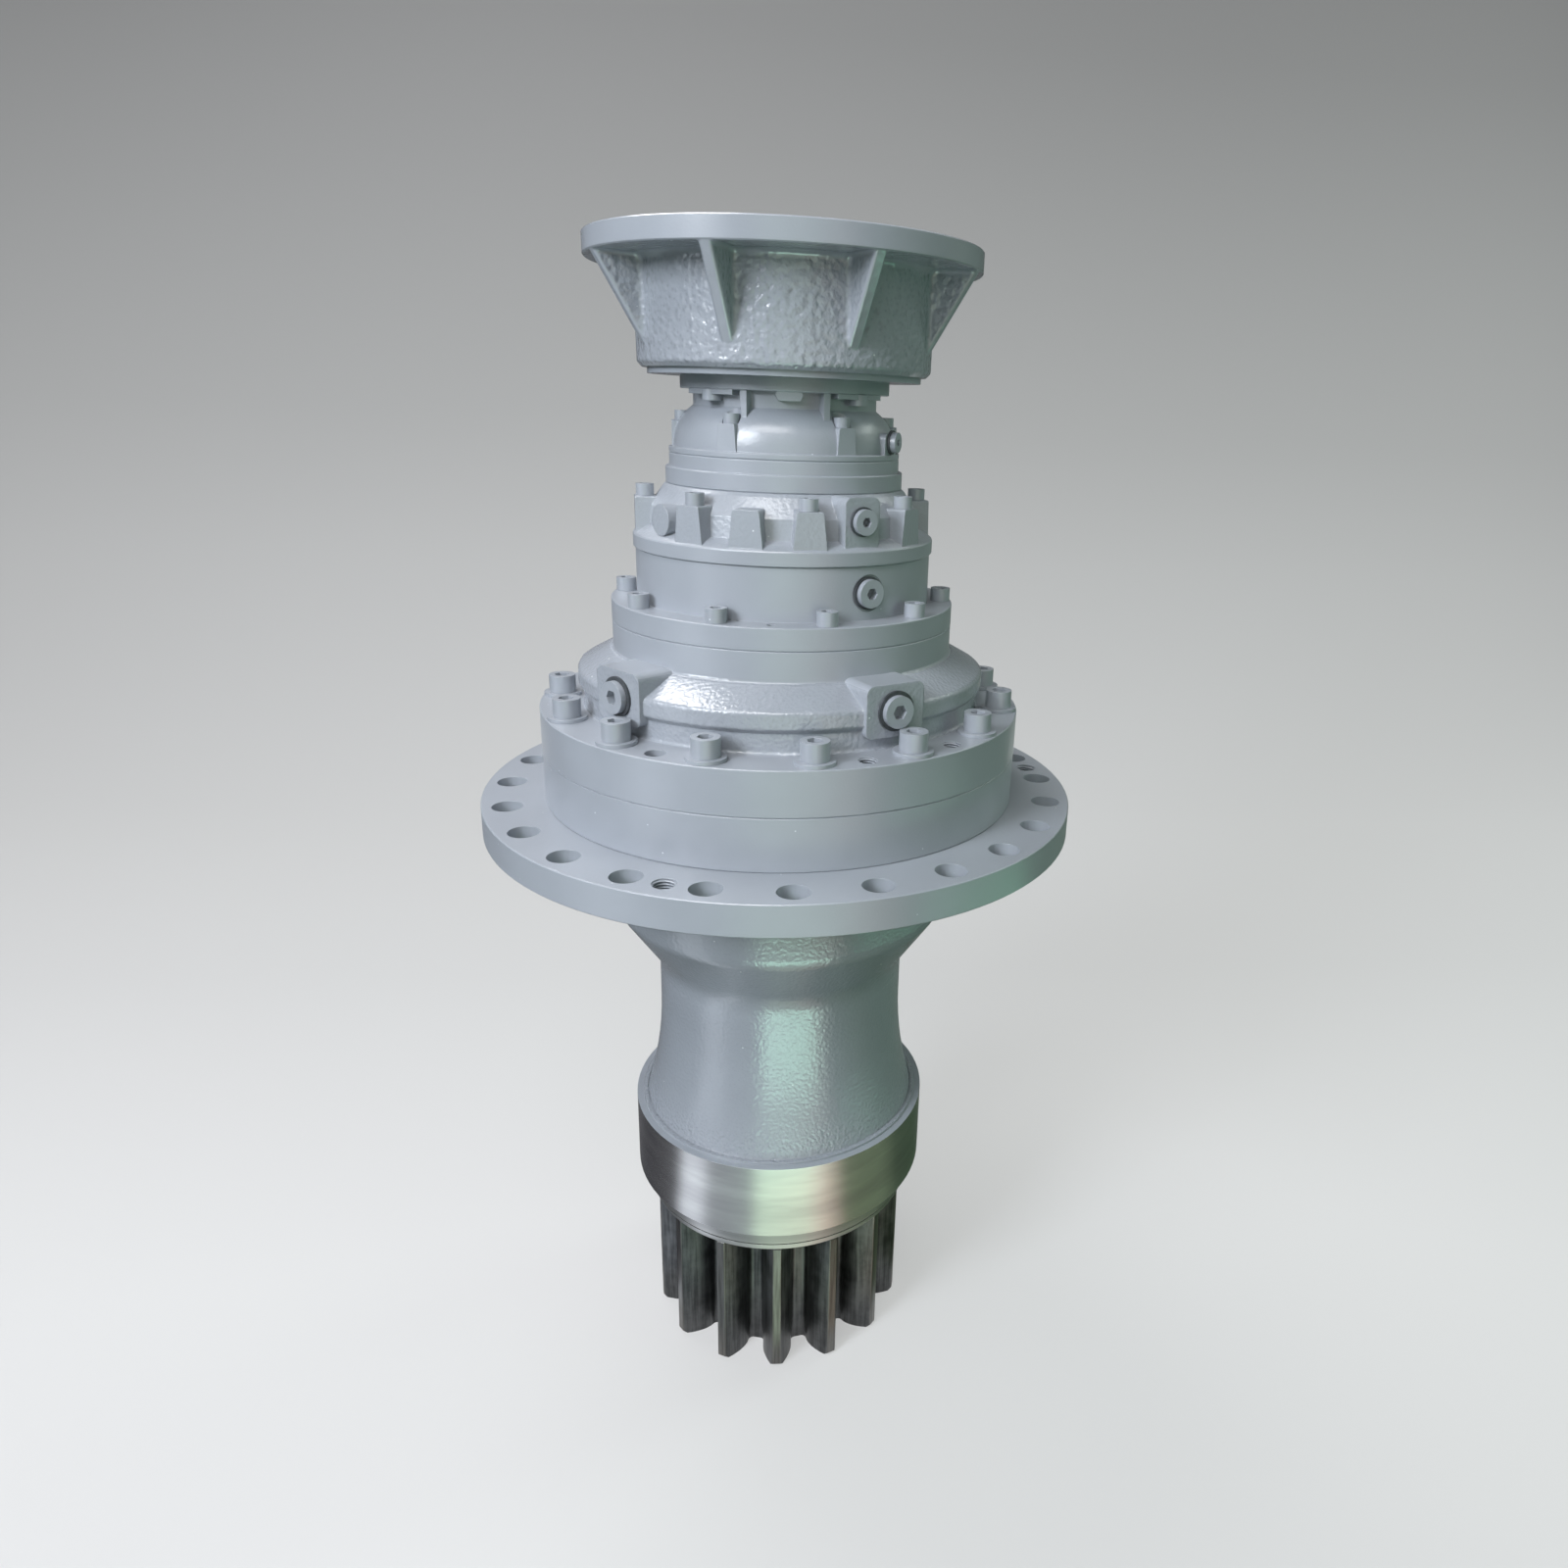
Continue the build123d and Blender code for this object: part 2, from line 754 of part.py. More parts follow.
def make_gear_cover():
    """The domed casting over the output stage, with two plug bosses on its shoulder."""
    boss_r = disc_r - cover_boss_inset
    roof_r = boss_r + cover_roof_step
    flare_z = cover_top_z + cover_flare_h
    roof_under_z = cover_roof_z - cover_roof_wall
    with BuildSketch(Plane.XZ) as outside:
        with BuildLine():
            Polyline(
                (0, cover_z),
                (cover_flange_r, cover_z),
                (cover_flange_r, cover_top_z),
                (cover_r, cover_top_z),
                (cover_r, flare_z),
                (cover_bulge_r, flare_z + cover_bulge),
                (cover_bulge_r, cover_shoulder_z),
                (roof_r, cover_roof_z),
                (boss_r, cover_roof_z),
                (boss_r, ring_2_z),
                (0, ring_2_z),
                close=True,
            )
        make_face()
        chamfer([corner(outside, cover_flange_r, level) for level in (cover_z, cover_top_z)], edge_break)
        chamfer(corner(outside, boss_r, ring_2_z), edge_break)
        fillet(corner(outside, boss_r, cover_roof_z), cover_root_fillet)
        fillet(corner(outside, cover_bulge_r, cover_shoulder_z), cover_shoulder_fillet)
        fillet(corner(outside, cover_r, cover_top_z), cover_root_fillet)
        fillet(corner(outside, cover_bulge_r, flare_z + cover_bulge), cover_root_fillet)
    inside = half_section(
        (0, cover_z),
        (cover_bore_r, cover_z),
        (cover_bore_r, cover_shoulder_z - cover_roof_wall),
        (boss_r - cover_roof_wall, roof_under_z),
        (cover_opening_r, roof_under_z),
        (cover_opening_r, ring_2_z - ring_2_spigot_h),
        (ring_2_spigot_r + seat_fit, ring_2_z - ring_2_spigot_h),
        (ring_2_spigot_r + seat_fit, ring_2_z),
        (0, ring_2_z),
    )
    bolt_holes = hole_ring(cover_z, m16_r + bolt_gap, cover_screw_r, cover_screw_count, cover_screw_start)
    tapped = hole_ring(ring_2_z, m12_r + thread_gap, disc_screw_r, disc_screw_count, disc_screw_start)
    extra_r = cover_r + cover_extra_reach
    with BuildPart() as gear_cover:
        revolve(outside.sketch, axis=Axis.Z)
        for angle in cover_plug_angles:
            boss = boss_profile(
                angle,
                cover_plug_face_r,
                cover_plug_z,
                cover_plug_boss_w,
                cover_plug_boss_h,
                cover_plug_boss_fillet,
            )
            extrude(boss, amount=-cover_plug_boss_l)
        revolve(inside, axis=Axis.Z, mode=Mode.SUBTRACT)
        for angle in cover_plug_angles:
            mouth = disc_on(facing_out(angle, cover_plug_face_r, cover_plug_z), large_plug_r + thread_gap)
            extrude(mouth, amount=-plug_bore_l, mode=Mode.SUBTRACT)
        extrude(bolt_holes, amount=cover_flange_t, mode=Mode.SUBTRACT)
        extrude(tapped, amount=-disc_screw_grip - air_gap, mode=Mode.SUBTRACT)
        for angle in cover_tapped_angles:
            extra = hole_at(cover_top_z, cover_tapped_r, extra_r, angle)
            extrude(extra, amount=-cover_extra_depth, mode=Mode.SUBTRACT)
        plain = hole_at(cover_top_z, cover_extra_hole_r, extra_r, cover_plain_angle)
        extrude(plain, amount=-cover_extra_depth, mode=Mode.SUBTRACT)
    return gear_cover


def make_ring_gear_2():
    """The middle ring gear: a disc bolted to the cover and a toothed barrel above it."""
    bolt_holes = hole_ring(ring_2_z, m12_r + bolt_gap, disc_screw_r, disc_screw_count, disc_screw_start)
    tapped = hole_ring(mid_z, m10_r + thread_gap, mid_screw_r, mid_screw_count, mid_screw_start)
    foot_z = ring_2_z - ring_2_spigot_h
    disc_hole = hole_at(disc_top_z, disc_tapped_r, disc_screw_r - disc_tapped_inset, disc_tapped_angle)
    level_plane = facing_out(level_plug_angle, level_plug_seat_r, level_plug_z)
    with BuildPart() as ring_gear_2:
        revolve(ring_section(0, disc_r, ring_2_z, disc_top_z, broken=True), axis=Axis.Z)
        revolve(ring_section(0, ring_2_r, disc_top_z - root_overlap, mid_z, broken=True), axis=Axis.Z)
        revolve(ring_section(0, ring_2_spigot_r, foot_z, ring_2_z), axis=Axis.Z)
        extrude(ring_teeth_space(stage_2, foot_z), amount=mid_z - foot_z, mode=Mode.SUBTRACT)
        extrude(bolt_holes, amount=ring_2_disc_t, mode=Mode.SUBTRACT)
        extrude(tapped, amount=-mid_screw_grip - air_gap, mode=Mode.SUBTRACT)
        extrude(disc_hole, amount=-disc_tapped_depth, mode=Mode.SUBTRACT)
        extrude(disc_on(level_plane, level_plug_seal_r + air_gap), amount=disc_edge, mode=Mode.SUBTRACT)
        extrude(disc_on(level_plane, level_plug_r + thread_gap), amount=-ring_2_wall, mode=Mode.SUBTRACT)
    return ring_gear_2


def make_intermediate_housing():
    """The casting between the middle and upper ring gears, with screw lugs around its wall."""
    floor_z = mid_lip_z + mid_floor_h
    slope_z = mid_lug_z - mid_slope_drop
    mouth_z = ring_1_z - mid_mouth_h
    outside = half_section(
        (0, mid_z),
        (mid_lip_r, mid_z),
        (mid_lip_r, mid_lip_z),
        (mid_lip_r - mid_lip_bevel, mid_lip_z + mid_lip_bevel_h),
        (mid_wall_r, floor_z),
        (mid_wall_r - mid_wall_draft, slope_z),
        (ring_1_r + mid_neck_step, ring_1_z - mid_neck_step),
        (ring_1_r, ring_1_z),
        (0, ring_1_z),
        broken=((mid_lip_r, mid_z), (mid_lip_r, mid_lip_z), (ring_1_r, ring_1_z)),
    )
    inside = half_section(
        (0, mid_z),
        (mid_cavity_r, mid_z),
        (mid_cavity_r, mouth_z - mid_cavity_r + mid_mouth_r),
        (mid_mouth_r, mouth_z),
        (mid_mouth_r, ring_1_z),
        (0, ring_1_z),
    )
    lug_angles = [mid_screw_start + 360 / mid_screw_count * index for index in range(mid_screw_count)]
    bolt_holes = hole_ring(mid_z, m10_r + bolt_gap, mid_screw_r, mid_screw_count, mid_screw_start)
    tapped = hole_ring(ring_1_z, m8_r + thread_gap, input_screw_r, input_screw_count, input_screw_start)
    plug_plane = facing_out(mid_plug_angle, mid_plug_face_r, mid_plug_z)
    plug_boss_h = ring_1_z - mid_lip_z
    plug_boss_z = mid_lip_z + plug_boss_h / 2
    blank_boss = disc_on(facing_out(blank_boss_angle, blank_boss_face_r, mid_z + blank_boss_h), blank_boss_r)
    with BuildPart() as intermediate_housing:
        revolve(outside, axis=Axis.Z)
        for angle in lug_angles + [mid_empty_lug_angle]:
            lug_root_z = mid_lip_z - root_overlap
            lug = lug_profile(angle, mid_lug_r, lug_root_z, mid_lug_z, mid_lug_foot_w, mid_lug_top_w)
            extrude(lug, amount=-lug_root_depth)
        boss = boss_profile(
            mid_plug_angle, mid_plug_face_r, plug_boss_z, mid_plug_boss_w, plug_boss_h, mid_plug_boss_fillet
        )
        extrude(boss, amount=-lug_root_depth)
        extrude(blank_boss, amount=-lug_root_depth)
        revolve(inside, axis=Axis.Z, mode=Mode.SUBTRACT)
        extrude(bolt_holes, amount=mid_lug_z - mid_z, mode=Mode.SUBTRACT)
        extrude(tapped, amount=-input_screw_grip, mode=Mode.SUBTRACT)
        extrude(disc_on(plug_plane, mid_plug_r + thread_gap), amount=-plug_bore_l, mode=Mode.SUBTRACT)
    return intermediate_housing


def make_ring_gear_1():
    """The input stage's ring gear, clamped between two castings."""
    bolt_holes = hole_ring(ring_1_z, m8_r + bolt_gap, input_screw_r, input_screw_count, input_screw_start)
    height = input_z - ring_1_z
    with BuildPart() as ring_gear_1:
        revolve(ring_section(0, ring_1_r, ring_1_z, ring_1_step_z, broken=True), axis=Axis.Z)
        upper = ring_section(0, ring_1_upper_r, ring_1_step_z - root_overlap, input_z, broken=True)
        revolve(upper, axis=Axis.Z)
        extrude(ring_teeth_space(stage_1, ring_1_z), amount=height, mode=Mode.SUBTRACT)
        extrude(bolt_holes, amount=height, mode=Mode.SUBTRACT)
    return ring_gear_1


def make_input_housing():
    """The domed casting that holds the input bearing, with lugs, ribs and a lobed upper flange."""
    dome_foot_r = ring_1_upper_r - input_dome_inset
    lip_z = input_bearing_z - input_lip_t
    lip_r = input_bearing_r - input_lip_step
    with BuildSketch(Plane.XZ) as outside:
        with BuildLine():
            Polyline(
                (0, input_z),
                (ring_1_upper_r, input_z),
                (ring_1_upper_r, input_base_z),
                (dome_foot_r, input_base_z),
            )
            ThreePointArc(
                (dome_foot_r, input_base_z),
                (dome_foot_r - input_dome_inset, input_lug_z - input_dome_inset / 2),
                (input_neck_r, input_dome_z),
            )
            Polyline(
                (input_neck_r, input_dome_z),
                (input_neck_r, input_flange_z),
                (input_flange_r, input_flange_z),
                (input_flange_r, adapter_z),
                (0, adapter_z),
                (0, input_z),
            )
        make_face()
        chamfer([corner(outside, ring_1_upper_r, level) for level in (input_z, input_base_z)], edge_break)
        chamfer(corner(outside, input_flange_r, input_flange_z), edge_break)
    inside = half_section(
        (0, input_z),
        (mid_mouth_r, input_z),
        (mid_mouth_r, input_z + input_cavity_h),
        (lip_r + input_cavity_step, lip_z),
        (lip_r, lip_z),
        (lip_r, input_bearing_z),
        (input_bearing_r + seat_fit, input_bearing_z),
        (input_bearing_r + seat_fit, adapter_z),
        (0, adapter_z),
    )
    groove = ring_section(
        input_bearing_r, circlip_r + thread_gap, circlip_z - thread_gap, circlip_z + circlip_t + thread_gap
    )
    lug_angles = [input_screw_start + 360 / input_screw_count * index for index in range(input_screw_count)]
    pad_angles = [adapter_screw_start + 360 / adapter_screw_count * i for i in range(adapter_screw_count)]
    bolt_holes = hole_ring(input_z, m8_r + bolt_gap, input_screw_r, input_screw_count, input_screw_start)
    tapped = hole_ring(
        adapter_z, m12_r + thread_gap, adapter_screw_r, adapter_screw_count, adapter_screw_start
    )
    spot_r = m8_head_r + head_gap
    head_spots = hole_ring(input_lug_z, spot_r, input_screw_r, input_screw_count, input_screw_start)
    plug_plane = facing_out(input_plug_angle, input_plug_face_r, input_plug_z)
    plug_boss_z = input_z + input_plug_boss_h / 2
    with BuildPart() as input_housing:
        revolve(outside.sketch, axis=Axis.Z)
        for angle in lug_angles:
            lug_root_z = input_base_z - root_overlap
            lug = lug_profile(
                angle, input_lug_r, lug_root_z, input_lug_z, input_lug_foot_w, input_lug_top_w
            )
            extrude(lug, amount=-lug_root_depth)
        boss = boss_profile(
            input_plug_angle,
            input_plug_face_r,
            plug_boss_z,
            input_plug_boss_w,
            input_plug_boss_h,
            input_plug_boss_fillet,
        )
        extrude(boss, amount=-lug_root_depth)
        for angle in neck_rib_angles:
            rib = radial_wedge(
                angle,
                neck_rib_t,
                (input_neck_r - neck_rib_t, input_lug_z),
                (input_neck_r + neck_rib_reach, input_lug_z),
                (input_neck_r + neck_rib_reach, input_flange_z),
                (input_neck_r - neck_rib_t, input_flange_z),
            )
            extrude(rib, amount=neck_rib_t)
        for angle in pad_angles:
            pad = arc_section(
                angle - neck_pad_sweep / 2,
                input_neck_r - neck_rib_t,
                input_flange_r,
                input_flange_z - neck_pad_drop,
                input_flange_z,
            )
            revolve(pad, axis=Axis.Z, revolution_arc=neck_pad_sweep)
            pad_boss = hole_at(input_flange_z, neck_boss_r, input_neck_r + neck_boss_reach, angle)
            extrude(pad_boss, amount=-neck_boss_drop)
        tab = lug_profile(
            neck_tab_angle,
            input_flange_r - air_gap,
            input_flange_z - neck_tab_drop,
            input_flange_z,
            neck_tab_w - neck_tab_drop,
            neck_tab_w,
        )
        extrude(tab, amount=-input_flange_edge - neck_rib_t)
        revolve(inside, axis=Axis.Z, mode=Mode.SUBTRACT)
        revolve(groove, axis=Axis.Z, mode=Mode.SUBTRACT)
        extrude(bolt_holes, amount=input_lug_z - input_z, mode=Mode.SUBTRACT)
        extrude(head_spots, amount=input_dome_h, mode=Mode.SUBTRACT)
        extrude(tapped, amount=-adapter_screw_grip - air_gap, mode=Mode.SUBTRACT)
        extrude(disc_on(plug_plane, input_plug_r + thread_gap), amount=-plug_bore_l, mode=Mode.SUBTRACT)
    return input_housing


def make_adapter_rib(angle):
    """One rib of the motor adapter, its outer edges rounded, reaching into the bell and the rim."""
    root_r = bell_outer_r - adapter_rib_root
    foot_z = adapter_body_z + adapter_rib_foot_h
    profile = radial_wedge(
        angle,
        adapter_rib_t,
        (root_r, foot_z),
        (bell_outer_r, foot_z),
        (motor_rim_r - rim_chamfer, adapter_rim_z),
        (motor_rim_r - rim_chamfer, adapter_rim_z + rim_chamfer),
        (root_r, adapter_rim_z + rim_chamfer),
    )
    with BuildPart() as rib:
        extrude(profile, amount=adapter_rib_t)
        fillet(rib.edges().sort_by(SortBy.LENGTH)[-2:], adapter_rib_edge_round)
    return rib.part


def at_adapter_rib_root(edge):
    """Whether an edge runs where a rib's side meets the adapter's bell or rim."""
    middle = edge @ 0.5
    reach = hypot(middle.X, middle.Y)
    bearing = atan2(middle.Y, middle.X) - radians(adapter_rib_start)
    rib_step = 2 * pi / adapter_rib_count
    turn = bearing - rib_step * round(bearing / rib_step)
    on_side = abs(abs(reach * sin(turn)) - adapter_rib_t / 2) < pick_tolerance
    above_foot = middle.Z > adapter_body_z + adapter_rib_foot_h
    on_rim = abs(middle.Z - adapter_rim_z) < pick_tolerance
    on_bell = bell_outer_r - air_gap < reach < bell_outer_r + bell_draft + adapter_cove
    return on_side and above_foot and (on_rim or on_bell) and middle.Z < adapter_rim_z + pick_tolerance


def make_motor_adapter():
    """The ribbed bell that carries the motor, open at the top around the coupling sleeve."""
    top_r = bell_outer_r + bell_draft
    with BuildSketch(Plane.XZ) as outside:
        with BuildLine():
            Polyline(
                (0, adapter_z),
                (bell_outer_r - adapter_foot_inset, adapter_z),
                (bell_outer_r - adapter_foot_inset, adapter_body_z),
                (bell_outer_r - adapter_bevel, adapter_body_z),
                (bell_outer_r, adapter_body_z + adapter_bevel),
                (top_r, adapter_rim_z),
                (motor_rim_r, adapter_rim_z),
                (motor_rim_r, adapter_top_z),
                (0, adapter_top_z),
                close=True,
            )
        make_face()
        rim_corners = [corner(outside, motor_rim_r, level) for level in (adapter_rim_z, adapter_top_z)]
        chamfer(rim_corners, rim_chamfer)
        fillet(corner(outside, bell_outer_r, adapter_body_z + adapter_bevel), adapter_bevel_round)
        fillet(corner(outside, top_r, adapter_rim_z), adapter_cove)
    floor_z = adapter_z + adapter_floor_t
    spigot_z = adapter_top_z - motor_spigot_depth
    inside = half_section(
        (0, adapter_z),
        (sleeve_r + cavity_gap, adapter_z),
        (sleeve_r + cavity_gap, floor_z),
        (bell_r, floor_z),
        (bell_r, spigot_z),
        (motor_spigot_r, spigot_z),
        (motor_spigot_r, adapter_top_z),
        (0, adapter_top_z),
    )
    bolt_start = adapter_rib_start + 180 / adapter_rib_count
    motor_holes = hole_ring(adapter_top_z, motor_bolt_hole_r, motor_bolt_r, motor_bolt_count, bolt_start)
    floor_holes = hole_ring(
        adapter_z, m12_r + bolt_gap, adapter_screw_r, adapter_screw_count, adapter_screw_start
    )
    with BuildPart() as motor_adapter:
        revolve(outside.sketch, axis=Axis.Z)
        for index in range(adapter_rib_count):
            add(make_adapter_rib(adapter_rib_start + index * 360 / adapter_rib_count))
        fillet(motor_adapter.edges().filter_by(at_adapter_rib_root), adapter_rib_root_round)
        revolve(inside, axis=Axis.Z, mode=Mode.SUBTRACT)
        extrude(motor_holes, amount=-motor_bolt_depth, mode=Mode.SUBTRACT)
        extrude(floor_holes, amount=adapter_floor_t, mode=Mode.SUBTRACT)
    return motor_adapter


def make_seal_carrier():
    """The tapered ring under the collar that holds the shaft seal and keeps the lower bearing in."""
    foot_z = housing_foot_z - seal_carrier_t
    seal_top_z = shaft_seal_z + shaft_seal_w
    spigot_r = lower_bearing_r - seat_fit
    spigot_bore_r = lower_bearing_r - big_race_t + air_gap
    section = half_section(
        (shaft_seal_r + seat_fit, foot_z),
        (seal_carrier_foot_r, foot_z),
        (seal_carrier_top_r, housing_foot_z),
        (spigot_r, housing_foot_z),
        (spigot_r, lower_bearing_z),
        (spigot_bore_r, lower_bearing_z),
        (spigot_bore_r, housing_foot_z),
        (seal_carrier_lip_r, housing_foot_z),
        (seal_carrier_lip_r, seal_top_z),
        (shaft_seal_r + seat_fit, seal_top_z),
    )
    groove_z = foot_z + seal_carrier_groove_h
    groove_r = seal_carrier_foot_r - seal_carrier_groove_d
    groove = ring_section(groove_r, seal_carrier_top_r, groove_z, groove_z + seal_carrier_groove_w)
    with BuildPart() as seal_carrier:
        revolve(section, axis=Axis.Z)
        revolve(groove, axis=Axis.Z, mode=Mode.SUBTRACT)
    return seal_carrier


def make_lip_seal(journal_r, outer_r, bottom, width):
    """A radial shaft seal: a U section whose inner leg runs on the journal."""
    lip_r = journal_r + running_fit
    leg = (outer_r - journal_r) * seal_leg_share
    section = half_section(
        (lip_r + leg / 2, bottom),
        (outer_r, bottom),
        (outer_r, bottom + width),
        (outer_r - leg, bottom + width),
        (outer_r - leg, bottom + leg),
        (lip_r + leg, bottom + leg),
        (lip_r + leg, bottom + width - leg),
        (lip_r, bottom + width - leg),
        (lip_r, bottom + width - 2 * leg),
    )
    with BuildPart() as lip_seal:
        revolve(section, axis=Axis.Z)
    return lip_seal


def make_circlip():
    """The split retaining ring above the input bearing."""
    inner_r = input_bearing_r - circlip_w
    with BuildPart() as circlip:
        revolve(ring_section(inner_r, circlip_r, circlip_z, circlip_z + circlip_t), axis=Axis.Z)
        with BuildSketch(Plane.XY.offset(circlip_z)):
            with Locations((input_bearing_r, 0)):
                Rectangle(circlip_split_l, circlip_split)
        extrude(amount=circlip_t, mode=Mode.SUBTRACT)
    return circlip


def socket_screws(seat_z, circle_r, count, start, size, length):
    """A ring of socket head screws with their heads up, size being shank radius, head radius and height."""
    shank_r, head_r, head_h = size
    with BuildSketch(Plane.XY.offset(seat_z + head_h)) as sockets:
        with PolarLocations(circle_r, count, start_angle=start):
            RegularPolygon(head_r * socket_share, 6)
    with BuildPart() as screws:
        extrude(hole_ring(seat_z, head_r, circle_r, count, start), amount=head_h)
        extrude(hole_ring(seat_z, shank_r, circle_r, count, start), amount=-length)
        extrude(sockets.sketch, amount=-head_h * socket_depth_share, mode=Mode.SUBTRACT)
    return screws


def make_cover_washers():
    """The plain washers under the cover screws."""
    outer = hole_ring(cover_top_z, washer_r, cover_screw_r, cover_screw_count, cover_screw_start)
    bore = hole_ring(cover_top_z, m16_r + bolt_gap, cover_screw_r, cover_screw_count, cover_screw_start)
    with BuildPart() as washers:
        extrude(outer, amount=washer_t)
        extrude(bore, amount=washer_t, mode=Mode.SUBTRACT)
    return washers


def make_plugs(places, shank_r, head_r):
    """Screw plugs with hexagon sockets, each place being an angle, a seat radius and a height."""
    with BuildPart() as plugs:
        for angle, seat_r, height in places:
            head_foot = facing_out(angle, seat_r + plug_seal_t, height)
            head_face = facing_out(angle, seat_r + plug_seal_t + plug_head_t, height)
            with BuildSketch(head_face) as socket:
                RegularPolygon(shank_r * plug_socket_share, 6)
            extrude(disc_on(head_foot, head_r), amount=plug_head_t)
            extrude(disc_on(head_foot, shank_r), amount=-plug_seal_t - plug_shank_l)
            extrude(socket.sketch, amount=-plug_head_t - plug_seal_t, mode=Mode.SUBTRACT)
    return plugs


def make_plug_seals(places, shank_r, outer_r):
    """The flat sealing rings under the screw plugs."""
    with BuildPart() as seals:
        for angle, seat_r, height in places:
            seat = facing_out(angle, seat_r, height)
            extrude(disc_on(seat, outer_r), amount=plug_seal_t)
            extrude(disc_on(seat, shank_r + thread_gap), amount=plug_seal_t, mode=Mode.SUBTRACT)
    return seals


def make_race(inner_r, outer_r, bottom, width):
    """One ring of a roller bearing."""
    with BuildPart() as race:
        revolve(ring_section(inner_r, outer_r, bottom, bottom + width), axis=Axis.Z)
    return race


def make_rollers(bore_r, outer_r, race_t, bottom, width):
    """The rollers of a bearing in their cage."""
    inner_race_r = bore_r + race_t
    outer_race_r = outer_r - race_t
    circle_r = (inner_race_r + outer_race_r) / 2
    roller_r = (outer_race_r - inner_race_r) / 2 - running_fit
    count = int(pi * circle_r / (roller_r * roller_spacing))
    cage_t = 2 * roller_r * cage_t_share
    foot_z = bottom + cage_rim
    length = width - 2 * cage_rim
    with BuildPart() as rollers:
        cage = ring_section(
            circle_r - cage_t / 2, circle_r + cage_t / 2, bottom + cage_inset, bottom + width - cage_inset
        )
        revolve(cage, axis=Axis.Z)
        pockets = hole_ring(foot_z, roller_r + pocket_gap, circle_r, count, 0)
        extrude(pockets, amount=length, mode=Mode.SUBTRACT)
        bodies = hole_ring(foot_z + pocket_gap, roller_r, circle_r, count, 0)
        extrude(bodies, amount=length - 2 * pocket_gap)
    return rollers


def make_pinion_shaft():
    """The output shaft: pinion, seal journal, two bearing journals, spline and nut thread in one piece."""
    thickness = pinion_module * (pi / 2 + 2 * pinion_shift * tan(pressure_angle))
    base_r = pinion_teeth * pinion_module / 2 * cos(pressure_angle)
    flank_foot_r = max(base_r, pinion_root_r)
    flank_step = (pinion_tip_r - flank_foot_r) / pinion_flank_points
    flank = []
    for index in range(pinion_flank_points + 1):
        radius = flank_foot_r + flank_step * index
        angle = half_tooth(radius, pinion_teeth, pinion_module, thickness)
        flank.append((radius * cos(angle), radius * sin(angle)))
    root_angle = half_tooth(flank_foot_r, pinion_teeth, pinion_module, thickness)
    buried_r = pinion_root_r - pinion_root_fillet
    root = (buried_r * cos(root_angle), buried_r * sin(root_angle))
    mirrored = [(x, -y) for x, y in flank]
    with BuildSketch() as tooth:
        with BuildLine():
            Line(root, flank[0])
            Spline(*flank)
            ThreePointArc(flank[-1], (pinion_tip_r, 0), mirrored[-1])
            Spline(*mirrored[::-1])
            Line(mirrored[0], (root[0], -root[1]))
            Line((root[0], -root[1]), root)
        make_face()
    with BuildSketch(Plane.XY.offset(pinion_foot_z)) as teeth:
        with PolarLocations(0, 1, start_angle=pinion_phase):
            Circle(pinion_root_r)
        with PolarLocations(0, pinion_teeth, start_angle=pinion_phase):
            add(tooth.sketch)
        roots = [v for v in teeth.vertices() if abs(Vector(v).length - pinion_root_r) < root_tolerance]
        fillet(roots, pinion_root_fillet)
    body_top_z = upper_bearing_z - shaft_step_h
    shaft = half_section(
        (0, pinion_top_z),
        (seal_journal_r, pinion_top_z),
        (seal_journal_r, lower_bearing_z),
        (lower_bearing_bore_r, lower_bearing_z),
        (lower_bearing_bore_r, lower_bearing_z + lower_bearing_w),
        (shaft_body_r, lower_bearing_z + lower_bearing_w),
        (shaft_body_r, body_top_z),
        (upper_bearing_bore_r + shaft_shoulder, body_top_z),
        (upper_bearing_bore_r + shaft_shoulder, upper_bearing_z),
        (upper_bearing_bore_r, upper_bearing_z),
        (upper_bearing_bore_r, carrier_3_hub_z),
        (nut_thread_r, carrier_3_hub_z),
        (nut_thread_r, shaft_top_z),
        (0, shaft_top_z),
    )
    tip_bevel = pinion_tip_r - pinion_tip_chamfer
    with BuildPart() as pinion_shaft:
        extrude(teeth.sketch, amount=pinion_face)
        for end_z, inward in ((pinion_foot_z, 1), (pinion_top_z, -1)):
            bevel = half_section(
                (tip_bevel, end_z),
                (pinion_tip_r + cut_reach, end_z),
                (pinion_tip_r + cut_reach, end_z + inward * (pinion_tip_chamfer + cut_reach)),
            )
            revolve(bevel, axis=Axis.Z, mode=Mode.SUBTRACT)
        revolve(shaft, axis=Axis.Z)
        spline = spline_profile(carrier_3_hub_z, spline_teeth, spline_module, 0)
        extrude(spline, amount=nut_z - carrier_3_hub_z)
        centre_hole = disc_on(Plane.XY.offset(pinion_foot_z), centre_hole_r)
        extrude(centre_hole, amount=centre_hole_l, mode=Mode.SUBTRACT)
    return pinion_shaft


def make_shaft_nut():
    """The slotted nut that holds the output carrier on the shaft."""
    with BuildPart() as shaft_nut:
        revolve(ring_section(nut_thread_r + thread_gap, nut_r, nut_z, nut_z + nut_t), axis=Axis.Z)
        for index in range(nut_slots):
            with BuildSketch(facing_out(360 / nut_slots * index, nut_r, nut_z + nut_t / 2)) as slot:
                Rectangle(nut_slot_w, nut_t)
            extrude(slot.sketch, amount=-nut_slot_d, mode=Mode.SUBTRACT)
    return shaft_nut


